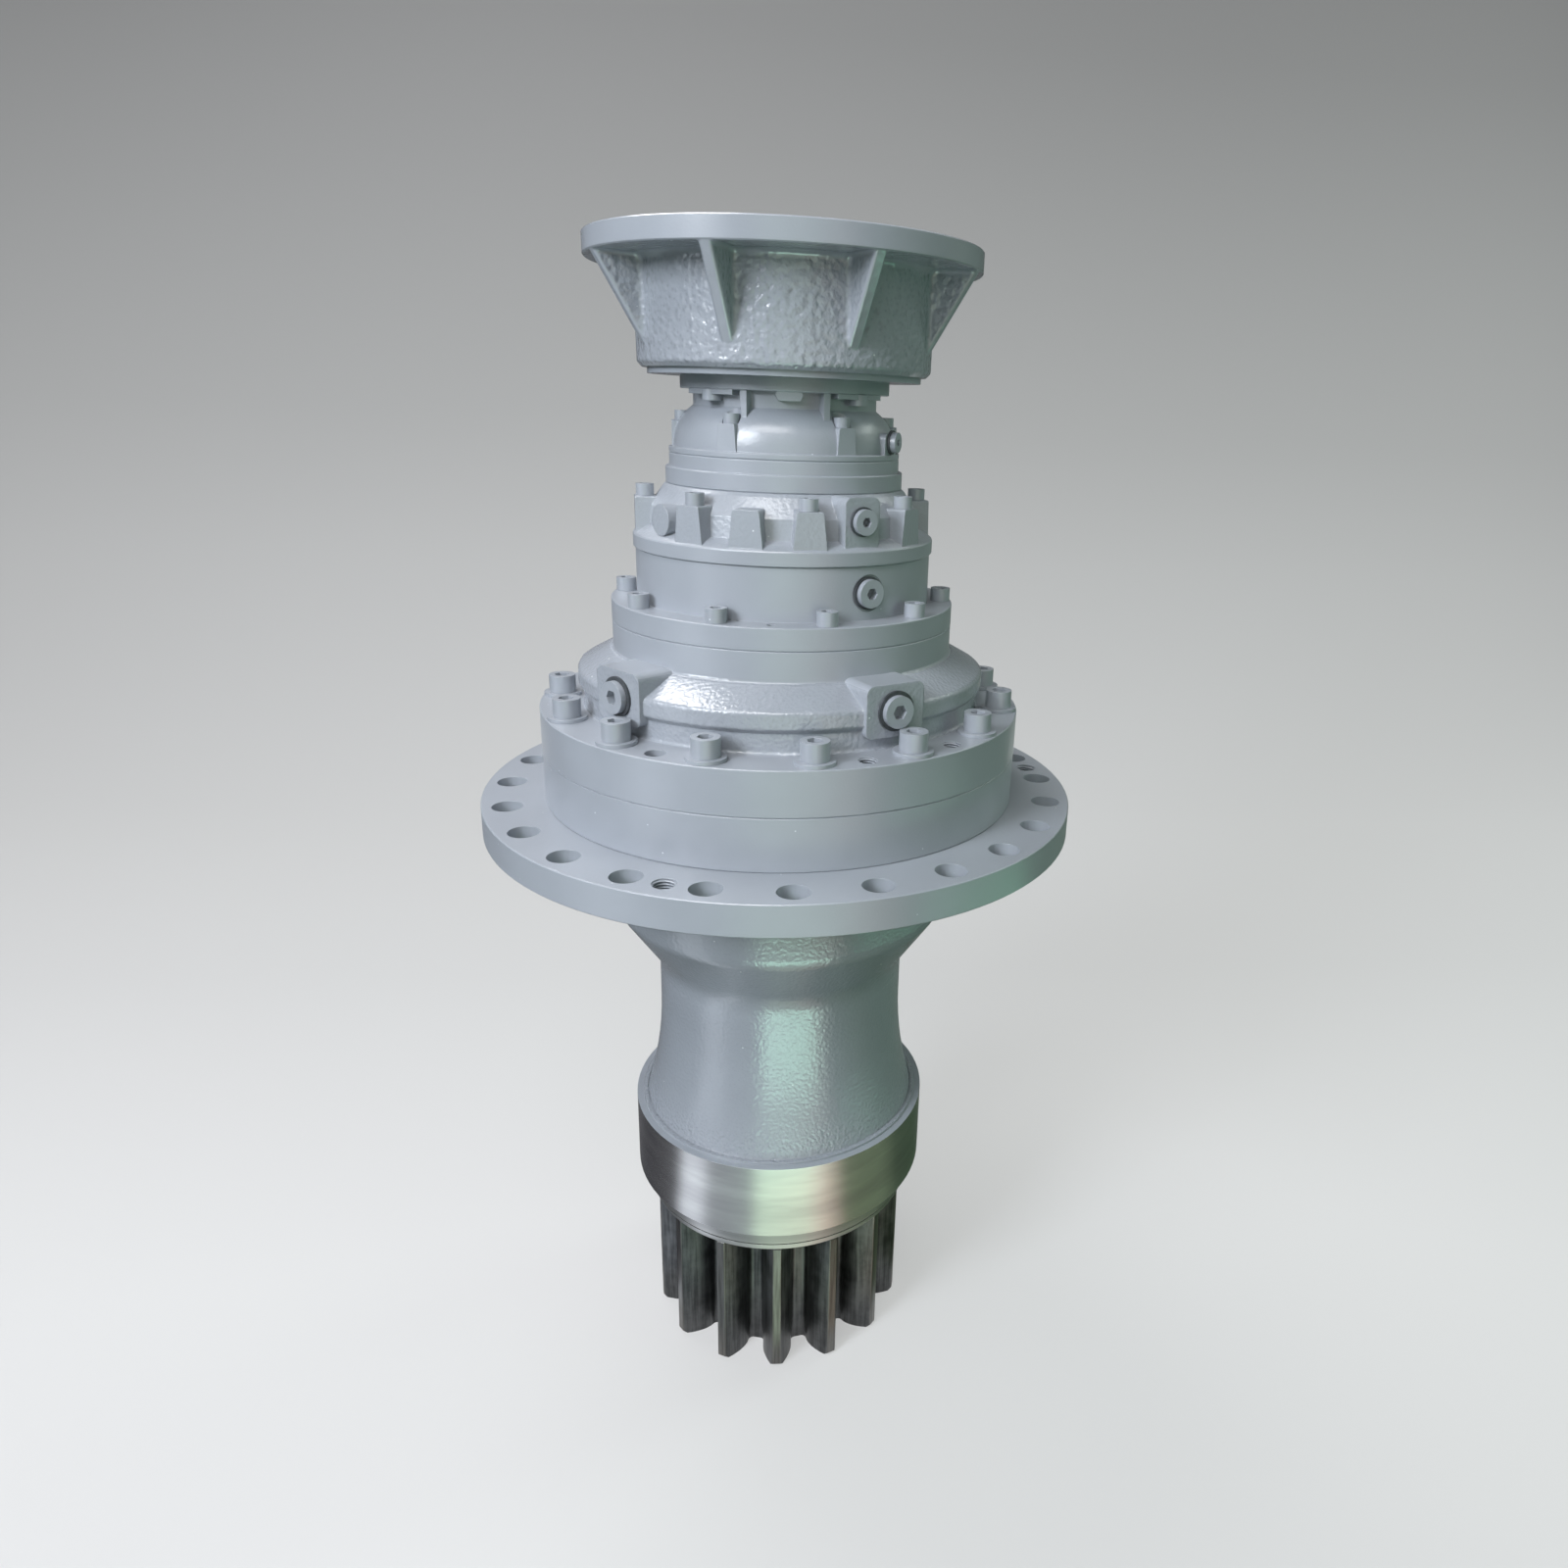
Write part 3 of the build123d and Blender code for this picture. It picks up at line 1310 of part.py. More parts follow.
def make_carrier(stage, hub_r, hub_z, bore_teeth, bore_module, recess_r, recess_z):
    """A planet carrier: two discs joined by posts, with a splined hub under the lower one."""
    half_turn = 180 / planet_count
    post_h = stage.upper_bottom - stage.lower_top
    pin_hole_r = stage.pin_r + seat_fit
    with BuildPart() as carrier:
        revolve(ring_section(0, hub_r, hub_z, stage.lower_bottom), axis=Axis.Z)
        revolve(ring_section(0, stage.disc_r, stage.lower_bottom, stage.lower_top), axis=Axis.Z)
        posts = hole_ring(stage.lower_top, stage.post_r, stage.post_centre_r, planet_count, half_turn)
        extrude(posts, amount=post_h)
        opening_r = stage.sun_tip_r + carrier_opening_gap
        revolve(ring_section(opening_r, stage.disc_r, stage.upper_bottom, stage.upper_top), axis=Axis.Z)
        pin_holes = hole_ring(stage.lower_bottom, pin_hole_r, stage.centre_r, planet_count, 0)
        extrude(pin_holes, amount=stage.upper_top - stage.lower_bottom, mode=Mode.SUBTRACT)
        bore = spline_profile(hub_z, bore_teeth, bore_module, spline_gap)
        extrude(bore, amount=stage.lower_top - hub_z, mode=Mode.SUBTRACT)
        revolve(ring_section(0, recess_r, recess_z, stage.lower_top), axis=Axis.Z, mode=Mode.SUBTRACT)
    return carrier


def make_planet_pins(stage):
    """The pins that the planets turn on."""
    pins_profile = hole_ring(stage.lower_bottom, stage.pin_r, stage.centre_r, planet_count, 0)
    with BuildPart() as planet_pins:
        extrude(pins_profile, amount=stage.upper_top - stage.lower_bottom)
    return planet_pins


def make_planet(stage, index, bore_r):
    """One planet gear, with a tooth pointing outwards from the axis."""
    turn = 360 / planet_count * index
    teeth = toothed_disc(
        stage.bottom,
        planet_teeth,
        stage.module,
        tooth_fill,
        stage.planet_root_r,
        stage.planet_tip_r,
        stage.centre_r,
        turn,
    )
    bore = hole_at(stage.bottom, bore_r, stage.centre_r, turn)
    with BuildPart() as planet:
        extrude(teeth, amount=stage.face)
        extrude(bore, amount=stage.face, mode=Mode.SUBTRACT)
    return planet


def make_planet_bush(stage, index):
    """The bearing bush pressed into one planet of the output stage."""
    turn = 360 / planet_count * index
    with BuildPart() as planet_bush:
        extrude(hole_at(stage.bottom, stage.pin_r + bush_wall, stage.centre_r, turn), amount=stage.face)
        bore = hole_at(stage.bottom, stage.pin_r + running_fit, stage.centre_r, turn)
        extrude(bore, amount=stage.face, mode=Mode.SUBTRACT)
    return planet_bush


def sun_profile(stage):
    """A sun gear's outline."""
    return toothed_disc(
        stage.bottom, sun_teeth, stage.module, tooth_fill, stage.sun_root_r, stage.sun_tip_r
    )


def sun_spline_module(shaft_r):
    """The module that gives a sun shaft's spline the shaft's own radius."""
    return 2 * shaft_r / (sun_spline_teeth + 1)


def make_sun_shaft(stage, shaft_r, driver):
    """A sun gear on the shaft that hangs from the carrier of the stage above."""
    hub_z = driver.lower_bottom - sun_hub_h
    spline_top_z = driver.lower_top - air_gap
    spline = spline_profile(hub_z, sun_spline_teeth, sun_spline_module(shaft_r), 0)
    with BuildPart() as sun_shaft:
        extrude(sun_profile(stage), amount=stage.face)
        extrude(hole_at(stage.top, shaft_r, 0, 0), amount=hub_z - stage.top)
        extrude(spline, amount=spline_top_z - hub_z)
    return sun_shaft


def make_input_shaft():
    """The input sun with its bearing journal and the stub that the coupling sleeve sits on."""
    collar_z = input_bearing_z - input_collar_t
    journal_top_z = input_bearing_z + input_bearing_w
    section = half_section(
        (0, stage_1.top),
        (input_neck_shaft_r, stage_1.top),
        (input_neck_shaft_r, collar_z),
        (input_collar_r, collar_z),
        (input_collar_r, input_bearing_z),
        (input_bearing_bore_r, input_bearing_z),
        (input_bearing_bore_r, journal_top_z),
        (input_stub_r, journal_top_z),
        (input_stub_r, sleeve_z + input_stub_h),
        (0, sleeve_z + input_stub_h),
    )
    with BuildPart() as input_shaft:
        extrude(sun_profile(stage_1), amount=stage_1.face)
        revolve(section, axis=Axis.Z)
    return input_shaft


def make_coupling_sleeve():
    """The keyed sleeve in the bell that the motor's shaft plugs into."""
    bore_z = sleeve_z + input_stub_h
    section = half_section(
        (input_stub_r + seat_fit, sleeve_z),
        (sleeve_r, sleeve_z),
        (sleeve_r, sleeve_top_z),
        (motor_shaft_r, sleeve_top_z),
        (motor_shaft_r, bore_z),
        (input_stub_r + seat_fit, bore_z),
    )
    with BuildPart() as coupling_sleeve:
        revolve(section, axis=Axis.Z)
        with BuildSketch(Plane.XY.offset(bore_z)) as keyway:
            with Locations(((motor_shaft_r + motor_key_h) / 2, 0)):
                Rectangle(motor_shaft_r + motor_key_h, motor_key_w)
        extrude(keyway.sketch, amount=sleeve_top_z - bore_z, mode=Mode.SUBTRACT)
    return coupling_sleeve


def save(piece, label):
    """Name a finished piece and write its file."""
    piece.part.label = label
    export_step(piece.part, f"parts/{label}.step")


os.makedirs("parts", exist_ok=True)

# Castings and ring gears
save(make_output_housing(), "output_housing")
save(make_ring_gear_3(), "ring_gear_3")
save(make_gear_cover(), "gear_cover")
save(make_ring_gear_2(), "ring_gear_2")
save(make_intermediate_housing(), "intermediate_housing")
save(make_ring_gear_1(), "ring_gear_1")
save(make_input_housing(), "input_housing")
save(make_motor_adapter(), "motor_adapter")

# Screws and washers
m16 = (m16_r, m16_head_r, m16_head_h)
m12 = (m12_r, m12_head_r, m12_head_h)
m10 = (m10_r, m10_head_r, m10_head_h)
m8 = (m8_r, m8_head_r, m8_head_h)
cover_screw_l = washer_t + cover_flange_t + ring_3_flange_t + cover_screw_grip
disc_screw_l = ring_2_disc_t + disc_screw_grip
mid_screw_l = mid_lug_z - mid_z + mid_screw_grip
input_screw_l = input_lug_z - ring_1_z + input_screw_grip - air_gap
adapter_screw_l = adapter_floor_t + adapter_screw_grip
adapter_floor_z = adapter_z + adapter_floor_t
cover_ring = (cover_top_z + washer_t, cover_screw_r, cover_screw_count, cover_screw_start)
disc_ring = (disc_top_z, disc_screw_r, disc_screw_count, disc_screw_start)
mid_ring = (mid_lug_z, mid_screw_r, mid_screw_count, mid_screw_start)
input_ring = (input_lug_z, input_screw_r, input_screw_count, input_screw_start)
adapter_ring = (adapter_floor_z, adapter_screw_r, adapter_screw_count, adapter_screw_start)
save(socket_screws(*cover_ring, m16, cover_screw_l), "cover_screws")
save(make_cover_washers(), "cover_washers")
save(socket_screws(*disc_ring, m12, disc_screw_l), "disc_screws")
save(socket_screws(*mid_ring, m10, mid_screw_l), "intermediate_screws")
save(socket_screws(*input_ring, m8, input_screw_l), "input_screws")
save(socket_screws(*adapter_ring, m12, adapter_screw_l), "adapter_screws")

# Screw plugs and their sealing rings
cover_places = [(angle, cover_plug_face_r, cover_plug_z) for angle in cover_plug_angles]
level_places = [(level_plug_angle, level_plug_seat_r, level_plug_z)]
mid_places = [(mid_plug_angle, mid_plug_face_r, mid_plug_z)]
input_places = [(input_plug_angle, input_plug_face_r, input_plug_z)]
save(make_plugs(cover_places, large_plug_r, large_plug_head_r), "cover_plugs")
save(make_plug_seals(cover_places, large_plug_r, large_plug_seal_r), "cover_plug_seals")
save(make_plugs(level_places, level_plug_r, level_plug_head_r), "level_plug")
save(make_plug_seals(level_places, level_plug_r, level_plug_seal_r), "level_plug_seal")
save(make_plugs(mid_places, mid_plug_r, mid_plug_head_r), "intermediate_plug")
save(make_plug_seals(mid_places, mid_plug_r, mid_plug_seal_r), "intermediate_plug_seal")
save(make_plugs(input_places, input_plug_r, input_plug_head_r), "input_plug")
save(make_plug_seals(input_places, input_plug_r, input_plug_seal_r), "input_plug_seal")

# Output shaft, its bearings and seal
save(make_pinion_shaft(), "pinion_shaft")
save(make_shaft_nut(), "shaft_nut")
save(make_seal_carrier(), "seal_carrier")
save(make_lip_seal(seal_journal_r, shaft_seal_r, shaft_seal_z, shaft_seal_w), "shaft_seal")
upper = (upper_bearing_z, upper_bearing_w)
lower = (lower_bearing_z, lower_bearing_w)
upper_inner_r = upper_bearing_bore_r + big_race_t
lower_inner_r = lower_bearing_bore_r + big_race_t
save(make_race(upper_bearing_bore_r, upper_inner_r, *upper), "upper_bearing_inner_ring")
save(make_race(upper_bearing_r - big_race_t, upper_bearing_r, *upper), "upper_bearing_outer_ring")
save(make_rollers(upper_bearing_bore_r, upper_bearing_r, big_race_t, *upper), "upper_bearing_rollers")
save(make_race(lower_bearing_bore_r, lower_inner_r, *lower), "lower_bearing_inner_ring")
save(make_race(lower_bearing_r - big_race_t, lower_bearing_r, *lower), "lower_bearing_outer_ring")
save(make_rollers(lower_bearing_bore_r, lower_bearing_r, big_race_t, *lower), "lower_bearing_rollers")

# Planetary stages
carrier_3 = make_carrier(
    stage_3, carrier_3_hub_r, carrier_3_hub_z, spline_teeth, spline_module, nut_r + air_gap, nut_z
)
save(carrier_3, "carrier_3")
for stage, shaft_r, label in (
    (stage_2, sun_3_shaft_r, "carrier_2"),
    (stage_1, sun_2_shaft_r, "carrier_1"),
):
    carrier = make_carrier(
        stage,
        shaft_r + sun_hub_wall,
        stage.lower_bottom - sun_hub_h,
        sun_spline_teeth,
        sun_spline_module(shaft_r),
        shaft_r + seat_fit,
        stage.lower_top - air_gap,
    )
    save(carrier, label)
for stage, number in ((stage_3, 3), (stage_2, 2), (stage_1, 1)):
    save(make_planet_pins(stage), f"planet_pins_{number}")
    bore_r = stage.pin_r + running_fit
    if stage is stage_3:
        bore_r = stage.pin_r + bush_wall + seat_fit
    for index, letter in enumerate("abc"[:planet_count]):
        save(make_planet(stage, index, bore_r), f"planet_{number}{letter}")
for index, letter in enumerate("abc"[:planet_count]):
    save(make_planet_bush(stage_3, index), f"planet_bush_3{letter}")
save(make_sun_shaft(stage_3, sun_3_shaft_r, stage_2), "sun_shaft_3")
save(make_sun_shaft(stage_2, sun_2_shaft_r, stage_1), "sun_shaft_2")

# Input shaft, its bearing, seal and the sleeve for the motor
input_pair = (input_bearing_z, input_bearing_w)
input_inner_r = input_bearing_bore_r + small_race_t
save(make_input_shaft(), "input_shaft")
save(make_coupling_sleeve(), "coupling_sleeve")
save(make_race(input_bearing_bore_r, input_inner_r, *input_pair), "input_bearing_inner_ring")
save(make_race(input_bearing_r - small_race_t, input_bearing_r, *input_pair), "input_bearing_outer_ring")
save(make_rollers(input_bearing_bore_r, input_bearing_r, small_race_t, *input_pair), "input_bearing_rollers")
save(make_circlip(), "input_circlip")
save(make_lip_seal(sleeve_r, input_bearing_r, input_seal_z, input_seal_w), "input_seal")
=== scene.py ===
# %% [markdown]
# # A slewing gearbox, dressed in Blender
# The gearbox stands on its pinion: a bolted mounting flange, three planetary stages stacked
# on it, a ribbed bell for the motor on top, and below the flange a cast neck that ends in a
# bare steel collar and a large pinion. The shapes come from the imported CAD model. This
# lesson gives them rounded edges, a sprayed coat over rough and machined metal, bare
# turned steel, threads, a floor and light.

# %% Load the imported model
import bpy, json
import numpy as np
from math import radians, sin, cos, pi
from mathutils import Matrix, Vector


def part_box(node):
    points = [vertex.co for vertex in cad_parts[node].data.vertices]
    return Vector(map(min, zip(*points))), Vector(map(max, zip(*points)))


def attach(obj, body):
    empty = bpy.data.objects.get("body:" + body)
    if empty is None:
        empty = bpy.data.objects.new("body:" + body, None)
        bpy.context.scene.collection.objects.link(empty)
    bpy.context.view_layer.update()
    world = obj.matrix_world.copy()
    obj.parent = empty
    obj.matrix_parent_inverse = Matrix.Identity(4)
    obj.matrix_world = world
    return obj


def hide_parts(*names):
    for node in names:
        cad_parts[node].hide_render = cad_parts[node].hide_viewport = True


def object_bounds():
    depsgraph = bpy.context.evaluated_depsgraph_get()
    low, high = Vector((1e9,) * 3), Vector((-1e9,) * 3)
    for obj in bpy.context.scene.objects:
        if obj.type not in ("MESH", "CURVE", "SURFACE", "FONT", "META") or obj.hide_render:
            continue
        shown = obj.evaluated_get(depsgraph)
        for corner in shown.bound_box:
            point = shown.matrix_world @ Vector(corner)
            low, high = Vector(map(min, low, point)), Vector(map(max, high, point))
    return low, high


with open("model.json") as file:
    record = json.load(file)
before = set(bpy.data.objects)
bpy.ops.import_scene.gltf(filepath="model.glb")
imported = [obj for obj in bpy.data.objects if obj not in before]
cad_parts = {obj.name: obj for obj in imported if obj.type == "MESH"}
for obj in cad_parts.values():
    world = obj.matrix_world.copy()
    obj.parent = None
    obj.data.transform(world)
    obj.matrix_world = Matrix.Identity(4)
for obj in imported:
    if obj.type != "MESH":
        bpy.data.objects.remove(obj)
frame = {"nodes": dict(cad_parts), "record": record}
cad_box = [list(corner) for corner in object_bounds()]
nodes = frame["nodes"]
record = frame["record"]
rides_on = {node: body for body, names in record["behaviour"]["bodies"].items() for node in names}
finish_of = {part["node"]: part["material_slot"] for part in record["subparts"]}
floor_z = cad_box[0][2]
print("nodes", len(nodes), "box", [[round(x, 3) for x in corner] for corner in cad_box])

# %% [markdown]
# ## The camera
# The photograph was taken from one metre away and 0.39 m above the flange, looking down by 18
# degrees, with the picture slightly rolled. A pinhole camera was fitted to the circles of the
# flange, the casing and the collar, which gives the angles, the distance and the lens below.
# The shift is the distance from the picture's middle to the pixel the camera really faced.

# %% Place the camera
def turned_axes(pitch, yaw, roll):
    """Camera axes in world space: a level look along +Y, turned about Z by yaw, dipped by
    pitch, then rolled about its own view line. Rows: picture right, picture down, forward."""
    level = Matrix(((1, 0, 0), (0, 0, -1), (0, 1, 0)))
    about_z = Matrix(((cos(yaw), -sin(yaw), 0), (sin(yaw), cos(yaw), 0), (0, 0, 1)))
    dip = Matrix(((1, 0, 0), (0, cos(pitch), -sin(pitch)), (0, sin(pitch), cos(pitch))))
    tilt = Matrix(((cos(roll), -sin(roll), 0), (sin(roll), cos(roll), 0), (0, 0, 1)))
    return tilt @ dip @ level @ about_z

picture, focal = 1600, 1102.0  # pixels
faced_x, faced_y = 911.7, 776.3  # pixels
pitch, yaw, roll = 18.30, 6.16, 2.35  # degrees
sensor = 36  # millimetres
axes = turned_axes(radians(pitch), radians(yaw), radians(roll))
look = Matrix((axes[0], -axes[1], -axes[2])).transposed().to_4x4()
look.translation = (0.0, -1.0124, 0.3855)
camera_data = bpy.data.cameras.new("photo_camera")
camera_data.sensor_width = sensor
camera_data.lens = focal / picture * sensor
camera_data.shift_x = (picture / 2 - faced_x) / picture
camera_data.shift_y = (faced_y - picture / 2) / picture
camera = bpy.data.objects.new("photo_camera", camera_data)
bpy.context.collection.objects.link(camera)
camera.matrix_world = look
bpy.context.scene.camera = camera
print("lens", round(camera_data.lens, 2), "mm, shift",
      round(camera_data.shift_x, 4), round(camera_data.shift_y, 4))

# %% [markdown]
# ## Small helpers for materials
# A material is a graph of nodes. These helpers add a node, set its plain inputs and link the
# rest, so that each finish below reads as a short recipe. Patterns read Object coordinates,
# in metres, so they sit on the metal and have a real size.

# %% Helpers for node graphs
def fill(tree, step, values):
    """Sets the inputs of a node: values are numbers and colours, or sockets to link."""
    for name, value in values.items():
        if isinstance(value, bpy.types.NodeSocket):
            tree.links.new(value, step.inputs[name])
        else:
            step.inputs[name].default_value = value

def add(tree, kind, values=None, **settings):
    """One shader node: settings are its properties, values its inputs."""
    step = tree.nodes.new(kind)
    for name, value in settings.items():
        setattr(step, name, value)
    fill(tree, step, values or {})
    return step

def sums(tree, operation, *terms):
    """A Math node over sockets or numbers."""
    return add(tree, "ShaderNodeMath", dict(enumerate(terms)), operation=operation).outputs[0]

def ramp(tree, value, low, high, out_low=0.0, out_high=1.0):
    """value from low..high, smoothed onto out_low..out_high."""
    limits = {"From Min": low, "From Max": high, "To Min": out_low, "To Max": out_high}
    return add(tree, "ShaderNodeMapRange", {"Value": value, **limits},
               interpolation_type="SMOOTHSTEP").outputs["Result"]

def band(tree, value, rise, fall):
    """1 between rise and fall, which are the pairs of values that it changes over, else 0."""
    return sums(tree, "SUBTRACT", ramp(tree, value, *rise), ramp(tree, value, *fall))

def mix_colours(tree, mask, low, high):
    """low where the mask is 0, high where it is 1."""
    return add(tree, "ShaderNodeMix", {0: mask, 6: low, 7: high}, data_type="RGBA").outputs[2]

def colour_bands(tree, share, stops):
    """Colours along a share of 0 to 1. Stops are pairs of share and colour, from 0 to 1."""
    bands = add(tree, "ShaderNodeValToRGB", {"Fac": share})
    elements = bands.color_ramp.elements
    elements[0].color, elements[1].color = stops[0][1], stops[-1][1]
    for place, colour in stops[1:-1]:
        elements.new(place).color = colour
    return bands.outputs["Color"]

def srgb(red, green, blue):
    """A colour as a picture shows it (0..255), as the linear values a shader wants."""
    shown = np.array([red, green, blue]) / 255
    linear = np.where(shown <= 0.04045, shown / 12.92, ((shown + 0.055) / 1.055) ** 2.4)
    return (*linear.tolist(), 1.0)

def shaded(colour, factor):
    """A linear colour, darker or brighter by a factor."""
    return (*(channel * factor for channel in colour[:3]), 1.0)

def attribute(tree, name):
    """A number that the mesh carries under that name."""
    return add(tree, "ShaderNodeAttribute", attribute_name=name).outputs["Fac"]

def object_place(tree):
    """Object coordinates in metres."""
    return add(tree, "ShaderNodeTexCoord").outputs["Object"]

def object_parts(tree):
    """X, Y and Z of the Object coordinates."""
    return add(tree, "ShaderNodeSeparateXYZ", {"Vector": object_place(tree)}).outputs

def around_axis(tree):
    """Object coordinates unrolled about the Z axis: (angle in radians, radius, height)."""
    part = object_parts(tree)
    radius = sums(tree, "POWER", sums(tree, "ADD", sums(tree, "MULTIPLY", part["X"], part["X"]),
                                      sums(tree, "MULTIPLY", part["Y"], part["Y"])), 0.5)
    return sums(tree, "ARCTAN2", part["Y"], part["X"]), radius, part["Z"]

def stretched_place(tree, slip, climb=1.0):
    """(angle * slip, radius, height * climb): a small factor draws a pattern out that way."""
    angle, radius, height = around_axis(tree)
    place = {"X": sums(tree, "MULTIPLY", angle, slip), "Y": radius,
             "Z": sums(tree, "MULTIPLY", height, climb)}
    return add(tree, "ShaderNodeCombineXYZ", place).outputs[0]

def noise(tree, place, scale, detail, rough):
    """A noise value around 0.5. Scale is waves per metre."""
    return add(tree, "ShaderNodeTexNoise", {"Vector": place, "Scale": scale, "Detail": detail,
                                            "Roughness": rough}).outputs["Fac"]

def rounded_edges(tree, radius):
    """The surface normal, turned over an edge as if it were rounded by radius metres."""
    return add(tree, "ShaderNodeBevel", {"Radius": radius}, samples=6).outputs[0]

def bumped(tree, height, strength, distance, **under):
    """The normal of a height that is distance metres high. Under may give the Normal below."""
    return add(tree, "ShaderNodeBump", {"Height": height, "Strength": strength,
                                        "Distance": distance, **under}).outputs[0]

def shown_rays(tree):
    """1 for rays that show a thing: from the camera, off a gloss or through a clear body."""
    ray = add(tree, "ShaderNodeLightPath").outputs
    bent = sums(tree, "MAXIMUM", ray["Is Glossy Ray"], ray["Is Transmission Ray"])
    return sums(tree, "MAXIMUM", ray["Is Camera Ray"], bent)

def new_group(name, inputs, outputs):
    """An empty node group with named inputs {name: default} and named outputs, all numbers."""
    group = bpy.data.node_groups.new(name, "ShaderNodeTree")
    for label, default in inputs.items():
        socket = group.interface.new_socket(label, in_out="INPUT", socket_type="NodeSocketFloat")
        socket.default_value = default
    for label in outputs:
        group.interface.new_socket(label, in_out="OUTPUT", socket_type="NodeSocketFloat")
    return group, add(group, "NodeGroupInput").outputs, add(group, "NodeGroupOutput").inputs

def use_group(tree, group, **values):
    """Places a group in a material, with its own values."""
    return add(tree, "ShaderNodeGroup", values, node_tree=group).outputs

def empty_material(name):
    """A material with an empty graph."""
    material = bpy.data.materials.new(name)
    material.use_nodes = True
    material.node_tree.nodes.clear()
    return material, material.node_tree

def new_material(name):
    """A material with an empty graph but for its Principled shader and output."""
    material, tree = empty_material(name)
    shader = add(tree, "ShaderNodeBsdfPrincipled")
    add(tree, "ShaderNodeOutputMaterial", {"Surface": shader.outputs[0]})
    return material, tree, shader

print("helpers ready")

# %% [markdown]
# ## Skins that several finishes share
# The castings were poured in sand, so under the paint they have lumps and pits a few
# millimetres wide. The machined faces are flat, and there the spray itself leaves a fine
# orange peel. Both are heights for a Bump node. Steel that was turned on a lathe has fine
# rings. Each is one group, placed in the materials with its own values.

# %% Group: sand-cast skin
def make_cast_skin():
    """Height of a sand casting: soft lumps, a finer grain, and shallow pits where a cell
    pattern comes close to its centres. Lump and Grain are waves per metre."""
    cells_per_lump, pit_core, pit_rim = 1.3, 0.05, 0.42
    grain_share, pit_share = 0.20, 0.10
    group, given, result = new_group(
        "sand_cast_skin", {"Lump": 90.0, "Grain": 330.0}, ["Height", "Pits"])
    place = object_place(group)
    lumps = noise(group, place, given["Lump"], 0.6, 0.4)
    grain = noise(group, place, given["Grain"], 1.0, 0.5)
    cell_scale = sums(group, "MULTIPLY", given["Lump"], cells_per_lump)
    cells = add(group, "ShaderNodeTexVoronoi", {"Vector": place, "Scale": cell_scale},
                feature="SMOOTH_F1")
    pits = ramp(group, cells.outputs["Distance"], pit_core, pit_rim, 1.0, 0.0)
    high = sums(group, "ADD", lumps, sums(group, "MULTIPLY", grain, grain_share))
    low = sums(group, "MULTIPLY", pits, pit_share)
    group.links.new(sums(group, "SUBTRACT", high, low), result["Height"])
    group.links.new(pits, result["Pits"])
    return group

cast_skin = make_cast_skin()
print(cast_skin.name)

# %% Group: sprayed coat
def make_spray_coat():
    """The coat's own orange peel as a height, slow drifts of its shade and gloss, and the
    small pale specks of dust that dried into it. Only the cells with the highest random
    value hold a speck."""
    drift_scale, dust_scale, dust_from = 14.0, 85.0, 0.86
    speck_core, speck_rim = 0.035, 0.075
    group, given, result = new_group(
        "sprayed_coat", {"Peel": 620.0, "Speck": 0.5}, ["Height", "Drift", "Specks"])
    place = object_place(group)
    group.links.new(noise(group, place, given["Peel"], 1.0, 0.4), result["Height"])
    group.links.new(noise(group, place, drift_scale, 3.0, 0.55), result["Drift"])
    cells = add(group, "ShaderNodeTexVoronoi", {"Vector": place, "Scale": dust_scale}).outputs
    chance = add(group, "ShaderNodeSeparateColor", {"Color": cells["Color"]}).outputs[0]
    chosen = sums(group, "GREATER_THAN", chance, dust_from)
    dots = ramp(group, cells["Distance"], speck_core, speck_rim, 1.0, 0.0)
    specks = sums(group, "MULTIPLY", sums(group, "MULTIPLY", dots, chosen), given["Speck"])
    group.links.new(specks, result["Specks"])
    return group

spray_coat = make_spray_coat()
print(spray_coat.name)

# %% Group: lathe rings
def make_turning_marks():
    """Fine rings from a lathe: noise that changes with radius and height and hardly round
    the axis, and a slower stain over it. Feed is rings per metre."""
    ring_slip, stain_slip, stain_scale = 0.0012, 0.02, 40.0
    group, given, result = new_group("turning_marks", {"Feed": 1400.0}, ["Height", "Stain"])
    rings = noise(group, stretched_place(group, ring_slip), given["Feed"], 3.0, 0.65)
    stain = noise(group, stretched_place(group, stain_slip), stain_scale, 4.0, 0.6)
    group.links.new(rings, result["Height"])
    group.links.new(stain, result["Stain"])
    return group

turning_marks = make_turning_marks()
print(turning_marks.name)
